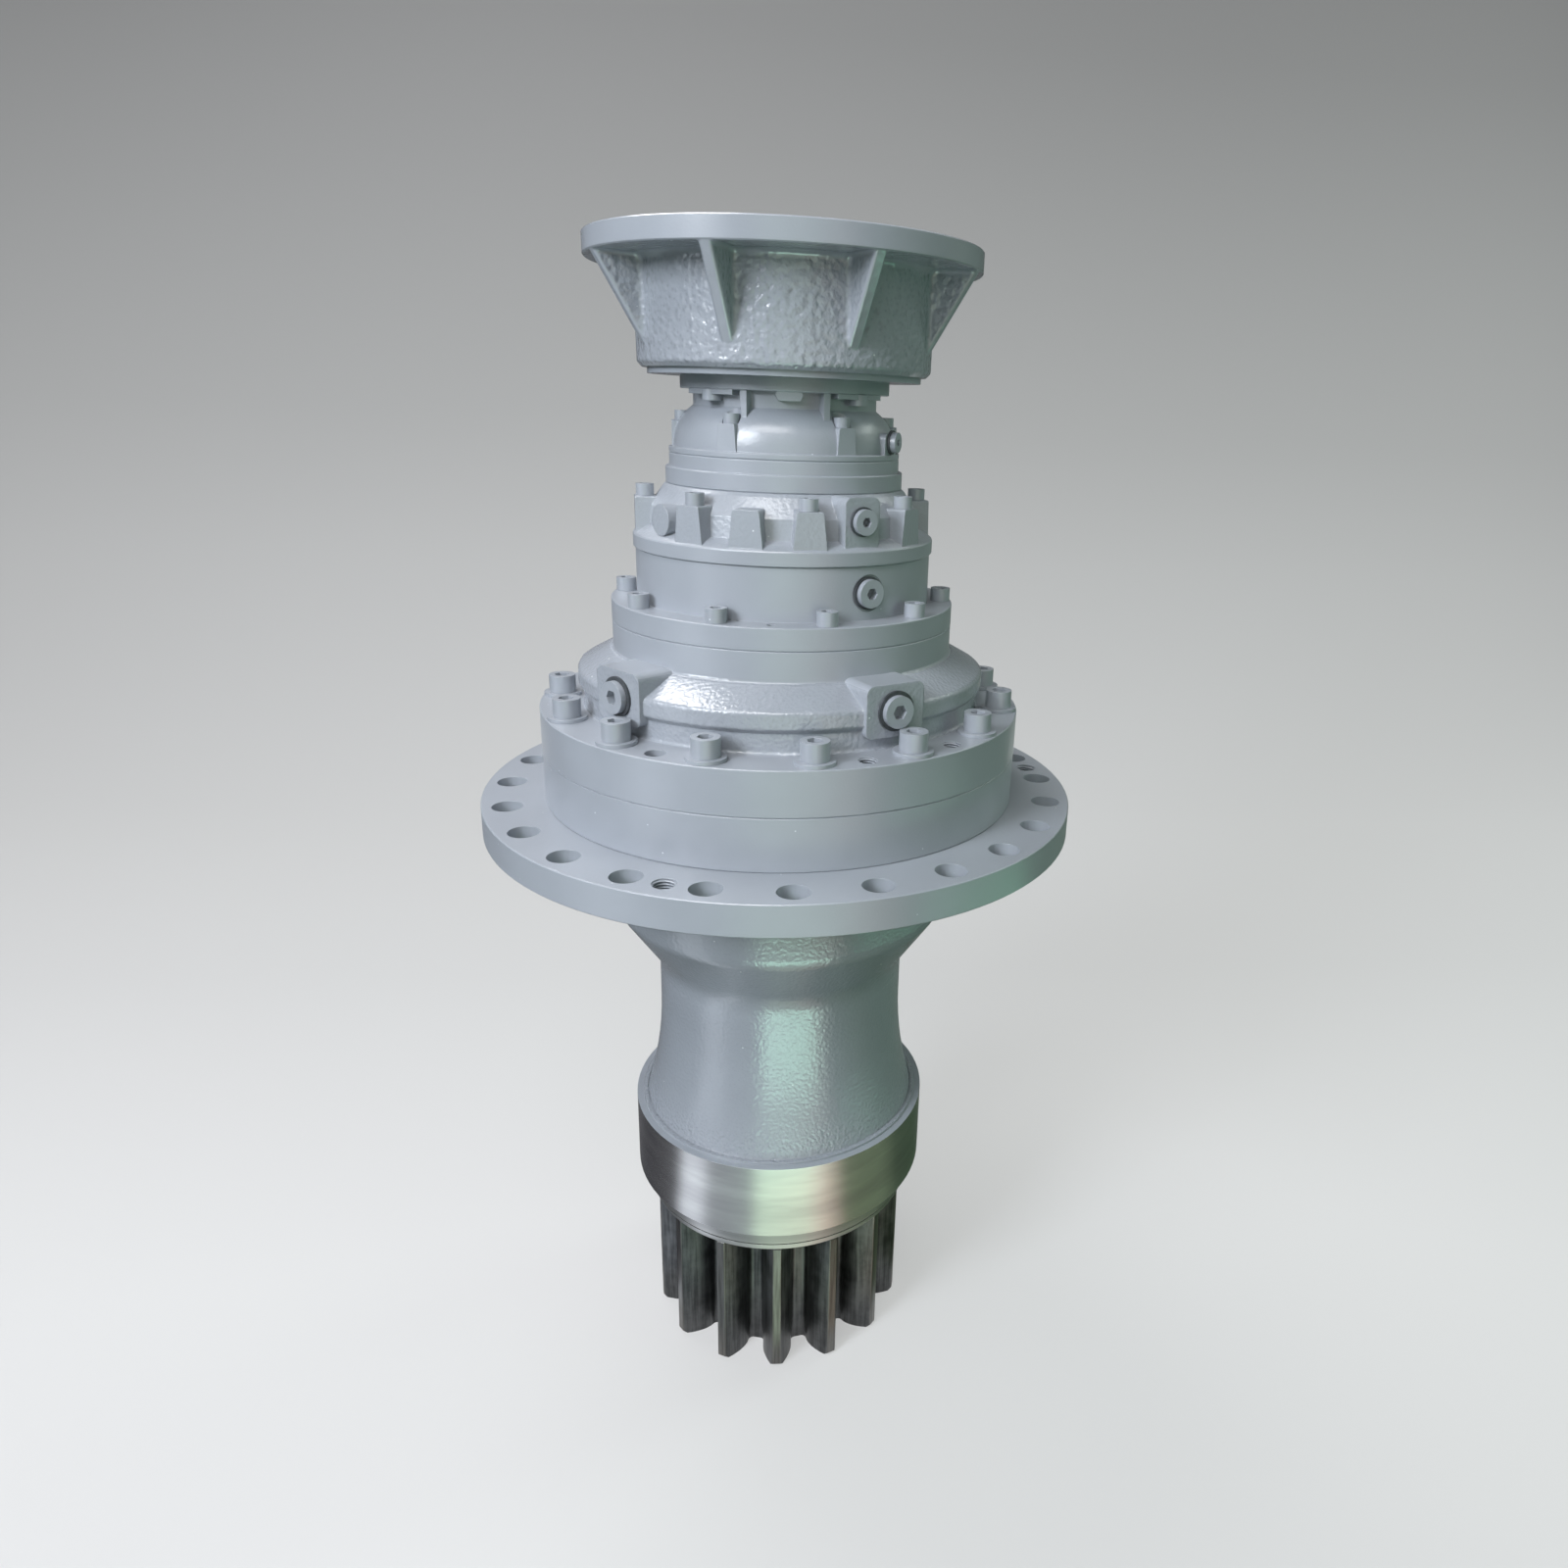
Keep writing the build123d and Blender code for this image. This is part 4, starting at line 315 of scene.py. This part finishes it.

# %% [markdown]
# ## The gearbox paint
# One glossy blue-grey coat covers everything above the collar, screws and plugs too. A mask
# on the mesh, named cast, says how coarse each face was left, and the paint follows the lumps
# there. On the machined faces it shows only its orange peel. Over the coarse faces the coat
# ran thick and dried glossier. Its colour is painted darker in the pits, as painted shade, and
# it is a little duller where it drifted.

# %% Material: gearbox paint
def make_gearbox_paint(name, colour, lump, lump_depth, dull, dull_cast):
    """The coat over castings whose sand left about lump waves per metre, lump_depth deep. Its
    roughness is dull on machined faces and dull_cast where the casting was left coarse. The
    skin is coarsest in the fillet at the foot of the neck."""
    fillet_foot_z, fillet_top_z, fillet_gain = -0.31, -0.27, 3.2
    coarse_from, coarse_to = 0.31, 0.32
    edge_r, edge_r_gain = 0.0006, 0.0022
    peel_strength, peel_depth = 0.2, 0.00035
    material, tree, shader = new_material(name)
    left_cast = attribute(tree, "cast")
    gain = ramp(tree, around_axis(tree)[2], fillet_foot_z, fillet_top_z, fillet_gain, 1.0)
    cast = sums(tree, "MULTIPLY", left_cast, gain)
    coat = use_group(tree, spray_coat, Peel=560.0, Speck=0.75)
    sand = use_group(tree, cast_skin, Lump=lump, Grain=lump * 2.6)
    shade = mix_colours(tree, ramp(tree, coat["Drift"], 0.3, 0.7),
                        shaded(colour, 0.97), shaded(colour, 1.03))
    # Painted shade: in the pits of the coarse faces the colour falls to 0.72 of the paint's own.
    pit_shade = sums(tree, "MULTIPLY", sand["Pits"], sums(tree, "MULTIPLY", cast, 0.5))
    pit_shaded_colour = mix_colours(tree, pit_shade, shade, shaded(colour, 0.72))
    drift = sums(tree, "ADD", ramp(tree, coat["Drift"], 0.25, 0.75, 0.0, 0.03),
                 sums(tree, "MULTIPLY", coat["Specks"], 0.3))
    dullness = ramp(tree, left_cast, coarse_from, coarse_to, dull, dull_cast)
    edge = rounded_edges(tree, sums(tree, "MULTIPLY_ADD", cast, edge_r_gain, edge_r))
    peel = bumped(tree, coat["Height"], peel_strength, peel_depth, Normal=edge)
    fill(tree, shader, {
        "Base Color": mix_colours(tree, coat["Specks"], pit_shaded_colour, srgb(226, 230, 232)),
        "Roughness": sums(tree, "ADD", drift, dullness),
        "Normal": bumped(tree, sand["Height"], cast, lump_depth, Normal=peel),
        "Specular IOR Level": 1.0})
    return material

paint_colour = srgb(153, 158, 165)
paint = make_gearbox_paint("gearbox_paint", paint_colour, 320.0, 0.0011, 0.285, 0.185)
rough_paint = make_gearbox_paint("rough_casting_paint", paint_colour, 185.0, 0.0017, 0.15, 0.15)
print(paint.name, rough_paint.name, [round(c, 3) for c in paint_colour])

# %% [markdown]
# ## Bare steels
# The collar is turned steel with rings that stretch the highlights into a vertical sheen.
# The pinion is darker, from heat treatment and oil, with paler lands on the tips of its
# teeth where the outside was turned last. The hidden gears, shafts and bearings are ground
# or cut steel, and the carriers are castings.

# %% Material: turned collar steel
def make_turned_steel(name, dark, bright, rough, depth):
    """Steel off a lathe: stains between the colours dark and bright, rings depth metres deep
    whose roughness varies a little above rough, and a sheen across them."""
    material, tree, shader = new_material(name)
    marks = use_group(tree, turning_marks, Feed=1400.0)
    fill(tree, shader, {
        "Base Color": mix_colours(tree, ramp(tree, marks["Stain"], 0.32, 0.68), dark, bright),
        "Metallic": 1.0,
        "Roughness": ramp(tree, marks["Height"], 0.3, 0.7, rough + 0.04, rough + 0.08),
        "Anisotropic": 0.6,
        "Tangent": add(tree, "ShaderNodeTangent", direction_type="RADIAL", axis="Z").outputs[0],
        "Normal": bumped(tree, marks["Height"], 0.5, depth, Normal=rounded_edges(tree, 0.0006))})
    return material

collar_steel = make_turned_steel("turned_collar_steel", srgb(186, 185, 185), srgb(208, 208, 206),
                                 0.15, 0.000018)
print(collar_steel.name)

# %% Material: pinion steel
def make_pinion_steel():
    """Dark, oily steel with streaks along the teeth and slow blotches. The mask of tip lands
    is 1 from half a millimetre under the tip radius of 132.5 mm."""
    land_from_r, land_r = 0.1312, 0.1320
    material, tree, shader = new_material("pinion_steel")
    radius = around_axis(tree)[1]
    streaks = noise(tree, stretched_place(tree, 0.13, 0.05), 260.0, 4.0, 0.6)
    blotch = noise(tree, object_place(tree), 38.0, 4.0, 0.65)
    tips = ramp(tree, radius, land_from_r, land_r)
    stain = sums(tree, "ADD", streaks, sums(tree, "MULTIPLY", blotch, 0.7))
    base = mix_colours(tree, ramp(tree, stain, 0.58, 1.12), srgb(62, 63, 64), srgb(106, 107, 108))
    land = mix_colours(tree, ramp(tree, streaks, 0.3, 0.7), srgb(90, 89, 87), srgb(126, 125, 123))
    fill(tree, shader, {
        "Base Color": mix_colours(tree, tips, base, land),
        "Metallic": 1.0,
        "Roughness": sums(tree, "SUBTRACT", ramp(tree, blotch, 0.3, 0.7, 0.35, 0.46),
                          sums(tree, "MULTIPLY", tips, 0.06)),
        "Normal": bumped(tree, streaks, 0.4, 0.00009, Normal=rounded_edges(tree, 0.0012))})
    return material

pinion_steel = make_pinion_steel()
print(pinion_steel.name)

# %% Materials: hidden steels, castings, bronze, rubber
def make_plain_metal(name, dark, bright, rough, scale, depth, metallic):
    """A surface with clouds between the colours dark and bright, scale per metre, and a fine
    grain depth metres deep, for parts inside the casing and for rubber."""
    material, tree, shader = new_material(name)
    place = object_place(tree)
    cloud = noise(tree, place, scale, 4.0, 0.6)
    grain = noise(tree, place, scale * 14, 2.0, 0.5)
    fill(tree, shader, {
        "Base Color": mix_colours(tree, ramp(tree, cloud, 0.3, 0.7), dark, bright),
        "Metallic": metallic,
        "Roughness": ramp(tree, grain, 0.25, 0.75, rough, rough + 0.14),
        "Normal": bumped(tree, grain, 0.5, depth)})
    return material

plain_metals = {  # name: dark, bright, roughness, clouds per metre, depth of the grain, metallic
    "gear_steel": (srgb(140, 139, 137), srgb(178, 177, 174), 0.22, 30, 0.00005, 1.0),
    "black_steel": (srgb(34, 34, 36), srgb(58, 58, 60), 0.38, 45, 0.00008, 1.0),
    "cast_carrier": (srgb(78, 76, 74), srgb(112, 110, 106), 0.5, 60, 0.0006, 1.0),
    "bush_bronze": (srgb(150, 106, 62), srgb(188, 142, 88), 0.28, 40, 0.00005, 1.0),
    "seal_rubber": (srgb(50, 53, 56), srgb(72, 76, 80), 0.42, 70, 0.0001, 0.0),
}
finishes = {name: make_plain_metal(name, *values) for name, values in plain_metals.items()}
finishes["machined_steel"] = make_turned_steel("machined_steel", srgb(150, 150, 150),
                                               srgb(186, 186, 184), 0.25, 0.00005)
finishes.update(casing_paint=paint, housing_paint=paint, pinion_steel=pinion_steel)
for node, piece in nodes.items():
    piece.data.materials[0] = finishes[finish_of[node]]
print("finishes", sorted(finishes))

# %% [markdown]
# ## Which faces were cast, machined or left bare
# One casting has three kinds of face: rough from the sand, machined, and on the lowest part
# of the neck machined and left without paint. A CAD mesh is left as it is, so each casting
# gets a copy that stands for its node, and every face of the copy is told what it is by where
# it lies and which way it looks.

# %% Helper: a copy that knows its faces
def dressed_copy(node, cast, bare=None, coat=paint):
    """A copy of a node's mesh. cast and bare are rules of a face's (radius, height, up), where
    up is the Z of its normal: cast gives how coarse it was left, 0 to 1, bare where it has no
    paint."""
    mesh = nodes[node].data.copy()
    mesh.name = node + "_dressed"
    piece = bpy.data.objects.new(mesh.name, mesh)
    bpy.context.collection.objects.link(piece)
    centre, normal = np.empty(len(mesh.polygons) * 3), np.empty(len(mesh.polygons) * 3)
    mesh.polygons.foreach_get("center", centre)
    mesh.polygons.foreach_get("normal", normal)
    x, y, height = centre.reshape(-1, 3).T
    facts = np.hypot(x, y), height, normal[2::3]
    mesh.materials[0] = coat
    skin = mesh.attributes.new("cast", "FLOAT", "FACE")
    skin.data.foreach_set("value", cast(*facts).astype(np.float32))
    if bare:
        mesh.materials.append(collar_steel)
        mesh.polygons.foreach_set("material_index", bare(*facts).astype(np.int32))
    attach(piece, rides_on[node])
    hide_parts(node)
    return piece

print("face rules ready")

# %% Castings
def coarse_between(low, high, skin, bore=0.0):
    """A rule: coarse by skin between the heights low and high, beyond the radius bore."""
    return lambda radius, height, up: ((height > low) & (height < high) & (radius > bore)) * skin

def bell_skin(radius, height, up):
    """Coarse between foot and rim; the ribs' outer faces and the rim's underside are smoother."""
    foot_z, rim_z, rim_r = 0.4085, 0.5060, 0.1675
    rib_face_r, facing_down, smoother = 0.1290, -0.15, 0.15
    body = (height > foot_z) & (height < rim_z) & (radius < rim_r)
    return body * np.where((radius > rib_face_r) & (up < facing_down), smoother, 1.0)

def collar_bare(radius, height, up):
    """No paint on the collar's outside, nor on the end of the casting below it."""
    collar_r, collar_top_z, collar_foot_z = 0.1500, -0.3200, -0.3850
    return ((radius > collar_r) & (height < collar_top_z)) | (height < collar_foot_z)

dressed = [
    dressed_copy("motor_adapter", bell_skin, coat=rough_paint),
    dressed_copy("gear_cover", coarse_between(low=0.1150, high=0.1662, skin=0.45)),
    dressed_copy("intermediate_housing",
                 coarse_between(low=0.2700, high=np.inf, skin=0.30, bore=0.1062)),
    dressed_copy("input_housing", coarse_between(low=0.3420, high=0.4005, skin=0.12)),
    dressed_copy("output_housing", coarse_between(low=-0.312, high=-0.002, skin=0.33, bore=0.11),
                 bare=collar_bare)]
print({piece.name: len(piece.data.polygons) for piece in dressed})

# %% [markdown]
# ## Threads in the tapped holes
# Six holes are tapped: three in the mounting flange for jacking screws, two in the cover's
# flange and a small one on the second stage. The thread shows at their mouths as fine dark
# and bright lines. A cut thread is a groove that climbs one pitch a turn, so the wall of the
# hole is a grid of turning angle and height whose radius goes in and out along that helix.

# %% Helpers: pieces made of a grid
def grid_quads(rows, columns, closed_rows=False, closed_columns=False):
    """Corner numbers of the quads between the points of a grid, which may close on itself."""
    row, column = np.meshgrid(np.arange(rows - (not closed_rows)),
                              np.arange(columns - (not closed_columns)), indexing="ij")
    below, beside = (row + 1) % rows * columns, (column + 1) % columns
    quads = [row * columns + column, below + column, below + beside, row * columns + beside]
    return np.stack(quads, -1).reshape(-1, 4)

def new_piece(name, points, quads):
    """An object at the origin with these corner points and quads."""
    mesh = bpy.data.meshes.new(name)
    mesh.from_pydata(points.reshape(-1, 3).tolist(), [], quads.tolist())
    piece = bpy.data.objects.new(name, mesh)
    bpy.context.collection.objects.link(piece)
    return piece

print("grid helpers ready")

# %% Threads
def make_thread(name, node, reach, bearing, bottom, top, hole_r, pitch):
    """A threaded sleeve in a hole that is reach from the axis. Its inner radius is the hole's
    less a trapezoid wave of the phase height / pitch - angle / turn; its outside is plain."""
    sides, rows_per_turn = 32, 8
    root_gap, outer_gap = 0.00004, 0.00003
    depth_share, flank, root = 0.55, 1.6, 0.3
    rows = int((top - bottom) / pitch * rows_per_turn)
    angle = np.linspace(0, 2 * pi, sides, endpoint=False)[None]
    height = np.linspace(bottom, top, rows)[:, None]
    wave = np.abs(((height / pitch - angle / (2 * pi)) % 1.0) * 2 - 1)
    inner = hole_r - root_gap - depth_share * pitch * np.clip(wave * flank - root, 0, 1)
    outer = np.full((1, sides), hole_r - outer_gap)
    radius = np.concatenate([outer, inner, outer])
    level = np.concatenate([[[bottom]], height, [[top]]]) + angle * 0
    x, y = reach * cos(radians(bearing)), reach * sin(radians(bearing))
    points = np.stack([x + radius * np.cos(angle), y + radius * np.sin(angle), level], -1)
    quads = grid_quads(rows + 2, sides, closed_rows=True, closed_columns=True)
    piece = new_piece(name, points, quads)
    piece.data.materials.append(paint)
    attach(piece, rides_on[node])
    return piece

flange_low, flange_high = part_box("output_housing")
print("flange", flange_low, flange_high)
tapped_holes = [  # name, node, reach, bearing in degrees, bottom, top, radius of the hole, pitch
    ("jack_thread_1", "output_housing", 0.2575, -110.5, 0.0010, 0.0272, 0.0100, 0.0025),
    ("jack_thread_2", "output_housing", 0.2575, 9.5, 0.0010, 0.0272, 0.0100, 0.0025),
    ("jack_thread_3", "output_housing", 0.2575, 129.5, 0.0010, 0.0272, 0.0100, 0.0025),
    ("cover_thread_1", "gear_cover", 0.20803, -71.0, 0.0895, 0.1136, 0.0080, 0.0020),
    ("cover_thread_2", "gear_cover", 0.20803, -47.0, 0.0895, 0.1136, 0.0080, 0.0020),
    ("stage_2_thread", "ring_gear_2", 0.14398, -94.0, 0.1985, 0.2108, 0.0040, 0.00125),
]
threads = [make_thread(*hole) for hole in tapped_holes]
print({thread.name: len(thread.data.polygons) for thread in threads})

# %% [markdown]
# ## Floor, backdrop and light
# The picture has a plain ground that runs from pale grey at the bottom to mid grey at the
# top, with no line between floor and wall. A sheet that curves up behind the gearbox gives
# that, and its colour gets darker with height. The light is soft and comes from the left and
# above. The bright band down the neck and the collar is a reflection, which comes after.

# %% Floor and backdrop
def make_sweep():
    """A sheet along X, carried on a profile in Y and Z: flat floor, a quarter circle of
    radius 0.9 m, then a wall. Each point keeps its distance along the profile."""
    bend, back, reach, wall_top = 0.9, 1.4, 14.0, 5.2
    turn = np.linspace(0, pi / 2, 24)
    y = np.concatenate([[-reach, -1.5, -0.6, 0.0, 0.7], back + bend * np.sin(turn), [back + bend]])
    z = np.concatenate([np.zeros(5), bend * (1 - np.cos(turn)), [wall_top]])
    along = np.concatenate([[0], np.cumsum(np.hypot(np.diff(y), np.diff(z)))]) - reach
    x = np.linspace(-reach, reach, 3)
    points = np.stack(np.broadcast_arrays(x[:, None], y[None], z[None] + floor_z), -1)
    piece = new_piece("floor_sweep", points, grid_quads(len(x), len(y)))
    mesh = piece.data
    mesh.polygons.foreach_set("use_smooth", np.ones(len(mesh.polygons), dtype=bool))
    distances = np.tile(along, len(x)).astype(np.float32)
    mesh.attributes.new("along", "FLOAT", "POINT").data.foreach_set("value", distances)
    return piece

def make_sweep_paper(tones):
    """Matt paper whose grey follows the distance along the sweep; tones are pairs of metres
    from under the gearbox and the grey there. Far out it takes on the grey of the room, so
    that its edges don't show from the sides. It bounces little light back to the gearbox."""
    bounce_tone = (0.22, 0.26, 0.24, 1.0)
    fade_aside, fade_along = (3.2, 5.5), (4.6, 6.6)
    even_share, even_gain = 0.6, 0.4
    material, tree, shader = new_material("sweep_paper")
    along = attribute(tree, "along")
    start, end = tones[0][0], tones[-1][0]
    share = add(tree, "ShaderNodeMapRange", {"Value": along, "From Min": start, "From Max": end})
    greys = colour_bands(tree, share.outputs["Result"], [
        ((metres - start) / (end - start), srgb(grey, grey, grey)) for metres, grey in tones])
    bounced = add(tree, "ShaderNodeLightPath").outputs["Is Diffuse Ray"]
    fill(tree, shader, {"Base Color": mix_colours(tree, bounced, greys, bounce_tone),
                        "Roughness": 0.9, "Specular IOR Level": 0.0})
    part = object_parts(tree)
    nearer = sums(tree, "MULTIPLY", part["Y"], -1.0)
    aside = sums(tree, "MAXIMUM", sums(tree, "ABSOLUTE", part["X"]), nearer)
    far = sums(tree, "MAXIMUM", ramp(tree, aside, *fade_aside), ramp(tree, along, *fade_along))
    even = add(tree, "ShaderNodeEmission", {"Color": mix_colours(tree, far, greys, room_grey)})
    evenness = sums(tree, "MULTIPLY_ADD", far, even_gain, even_share)
    amount = sums(tree, "MULTIPLY", shown_rays(tree), evenness)
    both = add(tree, "ShaderNodeMixShader", {0: amount, 1: shader.outputs[0], 2: even.outputs[0]})
    tree.links.new(both.outputs[0], tree.nodes["Material Output"].inputs["Surface"])
    return material

room_grey = srgb(178, 179, 181)
sweep_tones = [(-1.0, 222), (0.0, 220), (0.7, 211), (1.4, 210),
               (2.4, 192), (3.4, 160), (3.8, 145), (4.6, 125)]
sweep = make_sweep()
sweep.data.materials.append(make_sweep_paper(sweep_tones))
print("sweep of", len(sweep.data.polygons), "faces")

# %% [markdown]
# Polished steel shows the room more than it shows itself. A real workshop has a bright door
# in front, a window at the left, dim corners and a floor between, and that is what draws
# bands down the neck and the collar. A wide bowl round the gearbox carries those tones. Only
# reflections see it: it lights nothing, throws no shadow, and the camera looks through it.

# %% Reflections of a workshop
def make_room_bowl():
    """A surface of turning angle and profile: a ring just over the floor from radius 0.16 m
    to 2.2 m, then a wall to 2.1 m, with 96 steps round."""
    steps = 96
    radius = np.array([0.16, 0.7, 2.2, 2.2, 2.2])
    height = np.array([0.004, 0.004, 0.006, 0.9, 2.1]) + floor_z
    turn = np.linspace(0, 2 * pi, steps, endpoint=False)[:, None]
    place = np.broadcast_arrays(radius * np.cos(turn), radius * np.sin(turn), height)
    quads = grid_quads(steps, len(radius), closed_rows=True)[:, ::-1]
    piece = new_piece("room_bowl", np.stack(place, -1), quads)
    piece.visible_camera = piece.visible_diffuse = piece.visible_shadow = False
    piece.visible_transmission = piece.visible_volume_scatter = False
    return piece

def make_room_tones(stops):
    """Light by the bearing, in degrees from the camera's side, to the right. It is stronger
    and greener on the doorstep, a ring of floor half a metre to a metre out, and weaker high
    on the wall. A green patch of floor lies to the right, 1.2 m to 1.5 m out."""
    doorstep_tone, doorstep_gain = (0.80, 1.30, 1.06, 1.0), 2.6
    patch_tone = (0.70, 1.75, 1.15, 1.0)
    wall_foot_z, wall_top_z, foot_strength, top_strength = -0.4, 0.7, 1.1, 0.5
    material, tree = empty_material("room_tones")
    part = object_parts(tree)
    bearing = sums(tree, "ARCTAN2", part["X"], sums(tree, "MULTIPLY", part["Y"], -1.0))
    share = sums(tree, "ADD", sums(tree, "DIVIDE", bearing, 2 * pi), 0.5)
    tones = [(degrees / 360 + 0.5, (*tone, 1.0)) for degrees, tone in stops]
    bands = colour_bands(tree, share, tones)
    level = add(tree, "ShaderNodeCombineXYZ", {"X": part["X"], "Y": part["Y"]}).outputs[0]
    reach = add(tree, "ShaderNodeVectorMath", {0: level}, operation="LENGTH").outputs["Value"]
    ahead = band(tree, bearing, (-0.35, -0.22), (0.40, 0.75))
    doorstep = sums(tree, "MULTIPLY", band(tree, reach, (0.45, 0.62), (0.82, 1.02)), ahead)
    beside = band(tree, bearing, (0.75, 0.90), (1.60, 1.80))
    patch = sums(tree, "MULTIPLY", beside, band(tree, reach, (1.15, 1.25), (1.50, 1.60)))
    tone = mix_colours(tree, patch, mix_colours(tree, doorstep, bands, doorstep_tone), patch_tone)
    strength = sums(tree, "MULTIPLY", sums(tree, "MULTIPLY_ADD", doorstep, doorstep_gain, 1.0),
                    ramp(tree, part["Z"], wall_foot_z, wall_top_z, foot_strength, top_strength))
    glow = add(tree, "ShaderNodeEmission", {"Color": tone, "Strength": strength})
    add(tree, "ShaderNodeOutputMaterial", {"Surface": glow.outputs[0]})
    return material

room_stops = [
    (-180, (0.20, 0.20, 0.21)), (-110, (0.07, 0.07, 0.08)), (-74, (0.10, 0.10, 0.11)),  # dim back
    (-66, (1.04, 1.11, 1.22)), (-54, (1.04, 1.11, 1.22)),  # window
    (-46, (0.42, 0.46, 0.50)), (-20, (0.42, 0.48, 0.50)),  # wall
    (-12, (0.92, 1.17, 0.94)), (16, (0.94, 1.07, 0.85)), (26, (0.90, 0.78, 0.66)),  # door
    (36, (0.52, 0.43, 0.36)), (44, (0.15, 0.19, 0.12)), (74, (0.15, 0.20, 0.13)),  # right corner
    (90, (0.06, 0.09, 0.06)), (120, (0.05, 0.08, 0.05)), (180, (0.20, 0.20, 0.21)),  # dim back
]
bowl = make_room_bowl()
bowl.data.materials.append(make_room_tones(room_stops))
print("bowl of", len(bowl.data.polygons), "faces, seen by reflections only")

# %% [markdown]
# The lamps are soft boxes as a photographer would hang them: a window at the left, two panels
# under the ceiling, and weaker fills in front, behind and at the right. The right one is green,
# as the shade on that side is in the picture. The camera can't see them, but gloss can, so
# they show as highlights.

# %% Lights
def softbox(name, place, target, size, power, colour):
    """A rectangular lamp at place that faces target, both in metres. The camera can't see it."""
    lamp = bpy.data.lights.new(name, "AREA")
    lamp.shape, lamp.energy, lamp.color = "RECTANGLE", power, colour
    lamp.size, lamp.size_y = size
    stand = bpy.data.objects.new(name, lamp)
    bpy.context.collection.objects.link(stand)
    away = Vector(place) - Vector(target)
    turn = away.to_track_quat("Z", "Y").to_matrix().to_4x4()
    stand.matrix_world = Matrix.Translation(place) @ turn
    stand.visible_camera = False

softbox("left_window", (-1.85, -1.8, 1.5), (0, 0, 0.1), (0.9, 1.2), 80.0, (0.87, 0.92, 1.0))
softbox("ceiling_back", (-0.9, 0.9, 2.5), (0, 0, 0.1), (1.5, 1.5), 50.0, (0.99, 0.98, 1.0))
softbox("ceiling_front", (-0.5, -1.4, 2.3), (0, 0, 0.1), (1.4, 0.8), 27.0, (0.99, 0.99, 1.0))
softbox("front_fill", (-0.5, -2.6, 1.0), (0, 0, 0.1), (1.6, 0.8), 11.0, (0.97, 1.0, 0.99))
softbox("back_fill", (2.9, 1.2, 1.5), (0, 0, 0), (1.0, 1.4), 30.0, (0.90, 1.0, 0.95))
softbox("right_fill", (2.4, -0.9, 0.3), (0, 0, 0), (1.0, 1.6), 7.0, (0.48, 1.0, 0.64))
print("lamps", [light.name for light in bpy.data.lights])

# %% The room beyond the sweep
world = bpy.data.worlds.new("room")
bpy.context.scene.world = world
world.use_nodes = True
room = world.node_tree
room.nodes.clear()
ambient = add(room, "ShaderNodeBackground", {"Color": (0.52, 0.54, 0.56, 1.0), "Strength": 0.12})
backdrop = add(room, "ShaderNodeBackground", {"Color": room_grey, "Strength": 1.0})
shown = shown_rays(room)
both = add(room, "ShaderNodeMixShader", {0: shown, 1: ambient.outputs[0], 2: backdrop.outputs[0]})
add(room, "ShaderNodeOutputWorld", {"Surface": both.outputs[0]})
bpy.context.scene.view_settings.view_transform = "Standard"
print("room grey", [round(c, 3) for c in room_grey])
